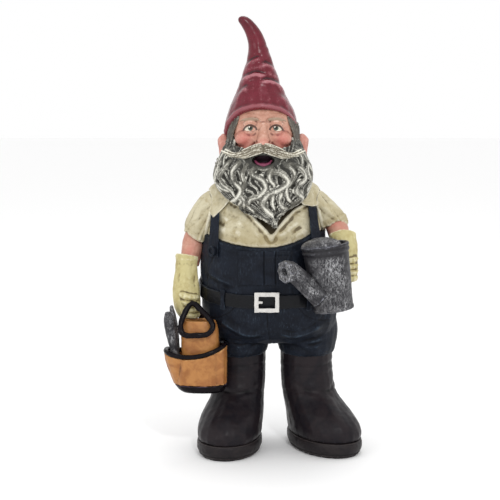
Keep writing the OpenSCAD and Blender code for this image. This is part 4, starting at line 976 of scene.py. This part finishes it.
def overalls(mat):
    c, p, n = begin("overalls_cloth", "overalls", 1.0, 3)
    xz = p[:, [0, 2]]
    front = step(-n[:, 1], 0.0, 0.4)
    back = step(n[:, 1], 0.0, 0.4)
    top = bib_line(p)
    d = 0.3 * bell(top - 1.6, 1.6) - 0.3 * bell(top - 6.4, 1.0)
    # Seams: a groove with stitching's low ridge beside it. The last ones end in pockets cut in the hips.
    for line, mask, ridge, off in (
            ([(11, 178), (10, 165), (9, 150)], front, 0.2, 1.5),
            ([(4, 128), (4.5, 118), (6, 104), (8.5, 94)], front, 0.2, 1.5),
            ([(-38, 176), (-45, 160), (-47, 148)], front, 0.2, 1.5),
            ([(46, 176), (49, 160), (50, 148)], front, 0.2, 1.5),
            ([(2, 176), (2, 150), (4, 126), (7, 96)], back, 0.2, 1.5),
            ([(-22, 131), (-27, 124), (-38, 118), (-50, 116)], front, 0.22, 1.3),
            ([(30, 130), (36, 122), (46, 117), (58, 115)], front, 0.22, 1.3)):
        r = gap(xz, line, 4)
        d += mask * (ridge * bell(r - off, 0.8) - 0.45 * bell(r, 0.7))
    for x1, z1, z2, x2, x3 in ((-36, 108, 103, -25, -14), (18, 108, 103, 30, 40)):
        r = near_line(xz, [(x1, 128), (x1, z1), (x2, z2), (x3, z1), (x3, 128), (x1, 128)])[0]
        d += back * (0.22 * bell(r - 1.3, 0.8) - 0.45 * bell(r, 0.7))
    # Folds: at the crutch, across the hips and where the legs meet the boots
    for line, depth, w, mask in (
            ([(5, 108), (-8, 104), (-22, 108), (-38, 118)], 1.2, 2.6, front),
            ([(6, 102), (-10, 96), (-26, 97), (-42, 104)], 1.1, 2.4, front),
            ([(10, 108), (24, 103), (40, 106), (56, 116)], 1.2, 2.6, front),
            ([(12, 100), (28, 95), (44, 96), (58, 102)], 1.1, 2.4, front),
            ([(-20, 147), (-34, 151), (-48, 158)], 0.8, 2.4, front),
            ([(-46, 172), (-50, 160), (-52, 150)], 0.6, 2.2, front),
            ([(-30, 94), (-18, 91), (-6, 94)], 0.8, 2, front), ([(30, 93), (42, 90), (54, 94)], 0.8, 2, front),
            ([(4, 106), (-14, 101), (-36, 106)], 1.2, 2.8, back),
            ([(6, 106), (26, 101), (48, 106)], 1.2, 2.8, back),
            ([(-44, 166), (-20, 158), (4, 160)], 0.8, 3, back), ([(48, 166), (24, 157), (4, 160)], 0.8, 3, back)):
        r, along, side = near_line(xz, curve(line, 5))
        s = r * side
        fold = bell(s, w * 0.8) - 0.75 * bell(s - 1.7 * w, w) - 0.5 * bell(s + 1.9 * w, w)
        d += ends_fade(along, 0.25) * mask * depth * fold
    d += 0.5 * fbm(p, 13, 161) + 0.16 * fbm(p, (2.2, 2.2, 6), 165)
    c.push(d, n).smooth(1, 0.4).cavities(3, 24, (2.2, 1.0))
    c.att["edge"] *= 1 - 0.6 * bell(top, 1.6)
    c.done(mat, "overalls")


def small_denim(mat):
    c, p, n = begin("bib_pocket_cloth", "bib_pocket", 0.45, 2)
    lo, hi = p.min(0), p.max(0)
    face = step(-n[:, 1], 0.3, 0.7)
    rim = np.minimum.reduce([p[:, 0] - lo[0], hi[0] - p[:, 0], p[:, 2] - lo[2]])
    d = face * (-0.2 * bell(rim - 2.2, 0.7) - 0.3 * bell(hi[2] - p[:, 2] - 4, 0.7))
    # Two dividing seams make the narrow tool slots
    for x0 in (1.8, 11.5):
        s = p[:, 0] - x0 - 0.4 * noise(p, 8, 171)
        d += face * (0.3 * bell(np.abs(s) - 1.3, 0.7) - 0.7 * bell(s, 0.6))
    d += face * 0.3 * fbm(p, (4, 4, 9), 175)
    c.push(d, n).smooth(1, 0.3).cavities(3, 18, (2.6, 1.4))
    c.att["edge"] = np.clip(c.att["edge"] * 0.8 + 0.25 * face * bell(hi[2] - p[:, 2] - 0.5, 0.8), 0, 1)
    c.done(mat, "bib_pocket")
    for name in ("right_strap", "left_strap"):
        c, p, n = begin(name + "_web", name, 0.5, 2)
        c.push(0.28 * fbm(p, (5, 5, 10), 181) + 0.1 * noise(p, 2, 185), n).cavities(3, 14, (2.6, 1.6))
        c.done(mat, name)
    c, p, n = begin("strap_button_rings", "strap_buttons", 0.32, 2)
    c.push(0.1 * fbm(p, 1.6, 191), n).cavities(2, 12, (4, 3))
    c.att["edge"] = np.clip(c.att["edge"] + 0.1, 0, 1)
    c.done(mat, "strap_buttons")
    c, p, n = begin("belt_loop_webs", "belt_loops", 0.4, 2)
    # Pinched in the middle, where the belt pulls
    for x0 in (-33, 39):
        near = step(12 - np.abs(p[:, 0] - x0), 0, 4)
        c.p[:, 0] += -(p[:, 0] - x0) * 0.25 * bell(belt_line(p), 4) * near
    c.push(0.15 * fbm(p, 3, 195), n).cavities(2, 12, (3, 2))
    c.att["edge"] = np.clip(c.att["edge"] + 0.2, 0, 1)
    c.done(mat, "belt_loops")


def belt_and_buckle():
    mat = painted("belt_paint", srgb(14, 15, 19), srgb(10, 11, 14), srgb(4, 4, 6), srgb(54, 59, 68),
                  rough=0.42, spec=0.12, wash_shade_at=(0.1, 0.7), drybrush_highlight_at=(0.4, 1.1), blotch=10, drybrush_highlight_amount=0.6,
                  grain=0.06, streak=(0.3, 0.3, 1), coat=0.1)
    plain(mat, "belt_leather", "belt", 0.55, 2, ((0.3, (9, 9, 4), 201), (0.1, 2, 205)), (0,), (3, 16, (2.4, 1.6)))
    mat = painted("buckle_paint", srgb(206, 203, 198), srgb(188, 186, 184), srgb(60, 58, 60),
                  srgb(238, 236, 232), rough=0.4, wash_shade_at=(0.15, 0.8), drybrush_highlight_at=(0.2, 0.9), blotch=4,
                  drybrush_highlight_amount=0.8, grain=0.1, spec=0.5)
    plain(mat, "buckle_frame", "buckle", 0.3, 3, ((0.3, 2.8, 211), (0.12, 1.0, 215)), (1, 0.3),
          (3, 14, (2.0, 1.2)))


# ---- arms

def forearms(mat):
    for side, name in ((-1, "right_forearm"), (1, "left_forearm")):
        c, p, n = begin(name + "_skin", name, 0.55, 3)
        d = 0.35 * fbm(p, 8, 221)
        for z0, lean in ((178, 0.3), (171, -0.25), (165, 0.2)) if side < 0 else ((190, 0.3), (185, -0.25)):
            up = p[:, 2] - z0 - lean * (p[:, 0] - 62 * side) - 0.6 * noise(p, 6, 225)
            d -= 0.4 * bell(up, 1.4) * step(-n[:, 1], -0.3, 0.4)
        c.push(d, n).cavities(3, 18, (1.4, 1.2))
        for k in ("iris", "pupil", "white", "lash", "glint", "brow", "lip", "throat"):
            c.att[k] = np.zeros(len(p))
        c.att["ear"] = np.full(len(p), 0.3)
        c.att["blush"] = np.clip(0.15 + 0.4 * noise(p, 9, 231), 0, 1)
        c.done(mat, name)


def gloves():
    # The dark tone paints the shade in the glove's folds, and the pale tone highlights on what stands proud.
    mat = painted("glove_paint", srgb(192, 182, 132), srgb(172, 158, 106), srgb(88, 72, 42),
                  srgb(226, 220, 186), rough=0.5, wash_shade_at=(0.03, 0.5), drybrush_highlight_at=(0.2, 0.9), blotch=9,
                  drybrush_highlight_amount=0.7, wash_shade_amount=0.9, grain=0.05)
    for side, name in ((-1, "right_glove"), (1, "left_glove")):
        c, p, n = begin(name + "_cloth", name, 0.5, 4)
        top = p[:, 2].max()
        x0 = np.interp(p[:, 2], [114, 167, 190], [62, 63, 64]) * side if side < 0 else 69.5
        t = np.degrees(np.arctan2(p[:, 0] - x0, -(p[:, 1] + 14)))
        cuff = top - p[:, 2] + (0.35 * (p[:, 1] + 14) if side > 0 else 0.15 * (p[:, 1] + 10))
        d = 0.5 * bell(cuff - 3, 2.0) - 0.32 * bell(cuff - 7.5, 1.9)
        for t0, z1, z2, w in ((-42, 8, 34, 16), (34, 12, 36, 15), (112, 8, 36, 18), (185, 8, 34, 18),
                              (-108, 8, 34, 18)):
            u = (t - t0 + 12 * noise(p, 12, 241) + 180) % 360 - 180
            k = top - p[:, 2]
            d -= 1.0 * bell(u, w) * step(k, z1, z1 + 10) * step(z2 - k, 0, 14)
        d += 0.4 * fbm(p, 8, 245) + 0.14 * fbm(p, 2.6, 247)
        c.push(d, n).smooth(1, 0.4).cavities(3, 26, (1.3, 2.3)).done(mat, name)


# ---- boots

def turned(degrees):
    """A turn about the upright axis"""
    c, s = math.cos(math.radians(degrees)), math.sin(math.radians(degrees))
    return np.array([(c, -s, 0), (s, c, 0), (0, 0, 1)])


def boots():
    # The pale tone on what stands proud paints the boots' highlights.
    mat = painted("boot_paint", srgb(33, 27, 30), srgb(22, 19, 24), srgb(10, 9, 10), srgb(88, 80, 80),
                  rough=0.4, spec=0.16, wash_shade_at=(0.1, 0.7), drybrush_highlight_at=(0.4, 1.2), blotch=15, drybrush_highlight_amount=0.5,
                  grain=0.06, coat=0.0, streak=(1, 1, 0.35))
    sole = painted("sole_paint", srgb(36, 31, 32), srgb(26, 22, 25), srgb(10, 9, 10), srgb(80, 72, 70),
                   rough=0.5, spec=0.2, drybrush_highlight_at=(0.4, 1.1), blotch=10, drybrush_highlight_amount=0.5, grain=0.08,
                   streak=(0.4, 0.4, 1))
    for name, foot, a in (("right", (-19.5, 1.5), -10), ("left", (39, 3.5), 28)):
        c, p, n = begin(name + "_boot_leather", name + "_boot", 0.8, 3)
        q = (p - [foot[0], foot[1], 0]) @ turned(a)
        outer = step(np.einsum("ij,ij->i", n[:, :2], (p - [*foot, 0])[:, :2]), 0, 5)
        d = np.zeros(len(p))
        # Shallow creases round the shaft, and the ridge from the toe up to the instep
        for z0, sag, reach, depth, w in ((74, 3, 1.0, 0.5, 1.9), (67, 4, 0.8, 0.35, 1.8), (53, 5, 0.9, 0.55, 2.4)):
            t = np.arctan2(q[:, 0], -q[:, 1]) / np.pi
            s = p[:, 2] - z0 + sag * t * t * 3 - 2.2 * noise(p, 14, 251)
            d += depth * (0.6 * bell(s - w * 1.2, w) - bell(s, w * 0.7)) * (0.35 + 0.65 * bell(t, reach * 0.45))
        ridge = q[:, 0] - 0.12 * (p[:, 2] - 20) * np.sign(foot[0])
        d += 1.6 * bell(ridge, 6) * step(-q[:, 1], 18, 28) * step(p[:, 2], 18, 34) * step(50 - p[:, 2], 0, 6)
        d -= 0.8 * bell(p[:, 2] - 50 - 0.02 * q[:, 0] ** 2, 2.6) * step(-q[:, 1], 8, 18)
        d -= 0.3 * bell(p[:, 2] - 14.4, 1.1)
        d += 0.55 * fbm(p, 15, 255) + 0.14 * fbm(p, 3.2, 257)
        c.push(d * outer, n).smooth(1, 0.4).cavities(3, 24, (2.0, 0.9)).done(mat, name + "_boot")
        c, p, n = begin(name + "_sole_rubber", name + "_sole", 0.7, 14)
        q = (p - [foot[0], foot[1], 0]) @ turned(a)
        side = step(1 - np.abs(n[:, 2]), 0.3, 0.6)
        d = side * (-0.5 * bell(p[:, 2] - 12.4, 0.9) - 1.2 * step(-p[:, 2], -6, -1))
        # Tread grooves under the foot, which don't lower it
        under = step(-n[:, 2], 0.6, 0.9)
        d -= 0.9 * under * bell(np.abs((q[:, 1] + 50) % 7 - 3.5), 0.8) * step(np.abs(q[:, 0]), 0, 2)
        d += side * (0.3 * fbm(p, 8, 261) + 0.1 * fbm(p, 2.5, 265))
        c.push(d, n).cavities(3, 16, (2.2, 1.4))
        c.p[:, 2] = np.maximum(c.p[:, 2], 0.0)
        c.done(sole, name + "_sole")


# ---- watering can

CAN_FOOT = np.array([59.2, -55.0, 128.5])
CAN_LEAN = math.radians(8.2)
CAN_AXIS = np.array([-math.sin(CAN_LEAN), 0, math.cos(CAN_LEAN)])


def can_mat():
    p = Paint("can_paint")
    col = p.mix(p.ramp(p.noise(12, 4, 0.6, 0.8), 0.35, 0.68), srgb(40, 39, 43), srgb(26, 25, 29))
    # Silver dry brushing, laid on in crossing strokes that catch and skip. How much is set per point: on the can
    # body that paints highlights on the front and shade at the sides.
    strokes = None
    for k, (a, size, lo) in enumerate(((28, 1.5, 0.55), (-40, 1.7, 0.56), (75, 1.3, 0.57), (-8, 1.2, 0.56))):
        s = p.ramp(p.noise(size, 6, 0.82, 1.2, p.place((1, 1, 0.42), (0, a, 0)), 30.0 + k), lo - 0.025, lo + 0.035)
        strokes = s if strokes is None else p.math("MAXIMUM", strokes, s)
    bare = p.ramp(p.noise(13, 4, 0.6, 0.8, None, 4.0), 0.38, 0.6, 0.25, 1.0)
    strokes = p.mul(p.mul(strokes, bare), p.ramp(p.att("silver_and_sheen"), 0.05, 0.9))
    cav = p.vary("cav", p.noise(2.6, 3, 0.6, 0.3, None, 7.0), 0.5)
    edge = p.vary("edge", p.noise(1.0, 5, 0.75, 0.4, None, 8.0), 1.6)
    col = p.mix(p.mul(strokes, 0.95), col, srgb(176, 176, 178))
    # Darker in the hollows, which paints their shade, and paler on the edges, dry brushing that also paints
    # highlights.
    col = p.over(col, srgb(8, 8, 11), cav, 0.1, 0.65, 0.92)
    col = p.over(col, srgb(150, 152, 162), edge, 0.3, 0.95, 0.85)
    r = p.ramp(strokes, 0.0, 1.0, 0.44, 0.36, "LINEAR")
    h = p.add(p.mul(strokes, 0.6), p.mul(p.noise(1.2, 4, 0.7, 0, None, 5.0), 0.5))
    return p.finish(col, r, p.bump(h, 0.16), 0.0, 0.3, 0.25)


def can(mat):
    for name, voxel, rough in (("can_body", 0.5, 0.3), ("can_hood", 0.42, 0.28), ("can_spout", 0.42, 0.42),
                               ("can_rose", 0.36, 0.35), ("can_handle", 0.42, 0.25)):
        c, p, n = begin(name + "_metal", name, voxel, 2 if name == "can_rose" else 3)
        d = rough * fbm(p, 7, 271) + 0.12 * fbm(p, 2, 275)
        h = (p - CAN_FOOT) @ CAN_AXIS
        silver_and_sheen = np.full(len(p), 0.75)
        if name == "can_body":
            d -= 0.35 * bell(h - 47, 0.7)
            away = p - CAN_FOOT - h[:, None] * CAN_AXIS
            t = np.degrees(np.arctan2(away[:, 0], -away[:, 1]))
            # More silver on the front than at the sides, and more again low on the front: painted highlights in
            # front and painted shade at the sides.
            silver_and_sheen = 0.12 + 0.95 * bell(t - 8 + 10 * noise(p, 15, 281), 46) * step(48 - h, 0, 6)
            silver_and_sheen = np.maximum(silver_and_sheen, 0.9 * step(12 - h, 0, 10) * bell(t, 60))
        if name == "can_spout":
            a, b = np.array([45, -66.5, 143.0]), np.array([24, -67, 162.6])
            ax = (b - a) / np.linalg.norm(b - a)
            s = (p - a) @ ax
            r = p - a - s[:, None] * ax
            t = np.degrees(np.arctan2(r[:, 1], r @ np.cross(ax, [0, 1, 0])))
            d -= 0.5 * bell(((t + 3 * noise(p, 6, 285)) % 45) - 22.5, 4)
            silver_and_sheen = 0.55 + 0.45 * noise(p, 7, 287)
        if name == "can_rose":
            silver_and_sheen = np.full(len(p), 1.0)
            d += 0.45 * fbm(p, 3, 291)
        c.push(d, n).smooth(1, 0.3).cavities(3, 18, (2.2, 1.3))
        c.att["silver_and_sheen"] = np.clip(silver_and_sheen, 0, 1)
        # The rose dry brushed paler all over, which paints highlights on it.
        if name == "can_rose":
            c.att["edge"] = np.clip(c.att["edge"] * 1.3 + 0.12, 0, 1)
        c.done(mat, name)


# ---- tool bag

def bag(metal):
    tan = painted("bag_paint", srgb(172, 118, 64), srgb(146, 92, 46), srgb(64, 34, 18), srgb(208, 160, 104),
                  rough=0.45, spec=0.3, wash_shade_at=(0.06, 0.62), drybrush_highlight_at=(0.3, 1.0), blotch=9, drybrush_highlight_amount=0.6,
                  wash_shade_amount=0.85, grain=0.05, coat=0.1)
    # The trim's pale tone on what stands proud paints the glossy bands' highlights.
    trim = painted("bag_trim_paint", srgb(17, 12, 16), srgb(11, 8, 11), srgb(5, 3, 5), srgb(112, 94, 114),
                   rough=0.26, spec=0.1, wash_shade_at=(0.1, 0.7), drybrush_highlight_at=(0.4, 1.05), blotch=8, drybrush_highlight_amount=0.7,
                   grain=0.05)
    for name, voxel, mat in (("bag_body", 0.6, tan), ("bag_pockets", 0.55, tan), ("bag_trim", 0.42, trim),
                             ("bag_base", 0.5, trim), ("bag_front_handle", 0.4, trim),
                             ("bag_rear_handle", 0.4, trim)):
        c, p, n = begin(name + ("_canvas" if mat is tan else "_band"), name, voxel, 3)
        d = 0.3 * fbm(p, 7, 301) + 0.1 * fbm(p, 2.2, 305)
        if name == "bag_pockets":
            front = step(-n[:, 1], 0.2, 0.6)
            for x0, lean, depth in ((-68, -0.22, 1.1), (-37.5, 0.05, 1.7)):
                s = p[:, 0] - x0 - lean * (80 - p[:, 2]) + 0.8 * noise(p, 12, 311)
                d += front * depth * (0.5 * bell(s - 3.2, 2.4) - 0.8 * bell(s, 2.3))
            d += 0.7 * fbm(p, (11, 11, 16), 315)
        if name.endswith("handle"):
            d += 0.35 * noise(p, 4.5, 321)
        c.push(d, n).smooth(1, 0.4).cavities(3, 18, (2.4, 1.3)).done(mat, name)
    for name in ("trowel", "pruners"):
        c, p, n = begin(name + "_metal", name, 0.38, 2)
        c.push(0.18 * fbm(p, 4, 331), n).cavities(3, 16, (2.6, 1.8))
        c.att["silver_and_sheen"] = np.clip(0.45 + 0.5 * noise(c.p, (5, 5, 9), 335), 0, 1)
        c.done(metal, name)


def pins():
    p = Paint("steel_rod")
    line = p.noise(0.8, 4, 0.7, 0, p.place((1, 1, 0.08)), 2.0)
    col = p.mix(p.ramp(line, 0.3, 0.7), srgb(150, 150, 152), srgb(116, 116, 120))
    p.b.inputs["Metallic"].default_value = 1.0
    mat = p.finish(col, p.ramp(line, 0.2, 0.8, 0.28, 0.42, "LINEAR"), p.bump(line, 0.02))
    for name in ("neck_rod", "hat_dowel", "arm_dowels", "leg_rods"):
        ob = NODES[name]
        for k in range(max(len(ob.material_slots), 1)):
            if k < len(ob.material_slots):
                ob.material_slots[k].link = "OBJECT"
                ob.material_slots[k].material = mat
            else:
                ob.data.materials.append(mat)


# ---- the set

def stage():
    me = bpy.data.meshes.new("floor")
    half = 6.0
    me.from_pydata([(-half, -half, 0), (half, -half, 0), (half, half, 0), (-half, half, 0)], [], [(0, 1, 2, 3)])
    floor = link("floor", me)
    p = Paint("floor_pale")
    me.materials.append(p.finish((0.97, 0.97, 0.97), 0.8, None, 0.0, 0.2, 0.2))
    w = bpy.data.worlds.new("studio")
    bpy.context.scene.world = w
    w.use_nodes = True
    bg = w.node_tree.nodes["Background"]
    bg.inputs["Color"].default_value = (1, 1, 1, 1)
    bg.inputs["Strength"].default_value = 1.0
    bpy.context.scene.view_settings.view_transform = "Standard"
    for name, at, size, power in (("key", (0.3, -1.3, 1.1), 0.16, 5.5), ("fill", (-0.9, -1.1, 0.6), 0.5, 1.6),
                                  ("top", (0.1, 0.5, 1.5), 0.8, 3.0)):
        lamp = bpy.data.lights.new(name, "AREA")
        lamp.shape = "DISK"
        lamp.size = size
        lamp.energy = power
        ob = bpy.data.objects.new(name, lamp)
        bpy.context.scene.collection.objects.link(ob)
        aim(ob, at, (0, 0, HALF_HEIGHT))


def aim(ob, at, to):
    ob.location = at
    ob.rotation_euler = (Vector(to) - Vector(at)).to_track_quat("-Z", "Y").to_euler()


def camera():
    """In front, aimed at the waist from a little above it"""
    away, half_view, tilt = 1.15, 0.215, math.radians(7)
    cam = bpy.data.cameras.new("camera")
    cam.angle = 2 * math.atan(half_view / away)
    cam.clip_start, cam.clip_end = 0.05, 30
    cam.shift_x, cam.shift_y = -0.024, -0.016
    ob = bpy.data.objects.new("camera", cam)
    bpy.context.scene.collection.objects.link(ob)
    to = (np.array([0, 0, 178]) + OFF) * MM
    aim(ob, to + away * np.array([0, -math.cos(tilt), math.sin(tilt)]), to)
    bpy.context.scene.camera = ob


camera()
stage()
pins()
hat()
SKIN = head()
hair()
beard()
moustache()
CLOTH = shirt_mat()
shirt(CLOTH)
collar(CLOTH)
for side in (-1, 1):
    sleeve(side, CLOTH)
DENIM = denim_mat()
overalls(DENIM)
small_denim(DENIM)
belt_and_buckle()
forearms(SKIN)
gloves()
boots()
METAL = can_mat()
can(METAL)
bag(METAL)
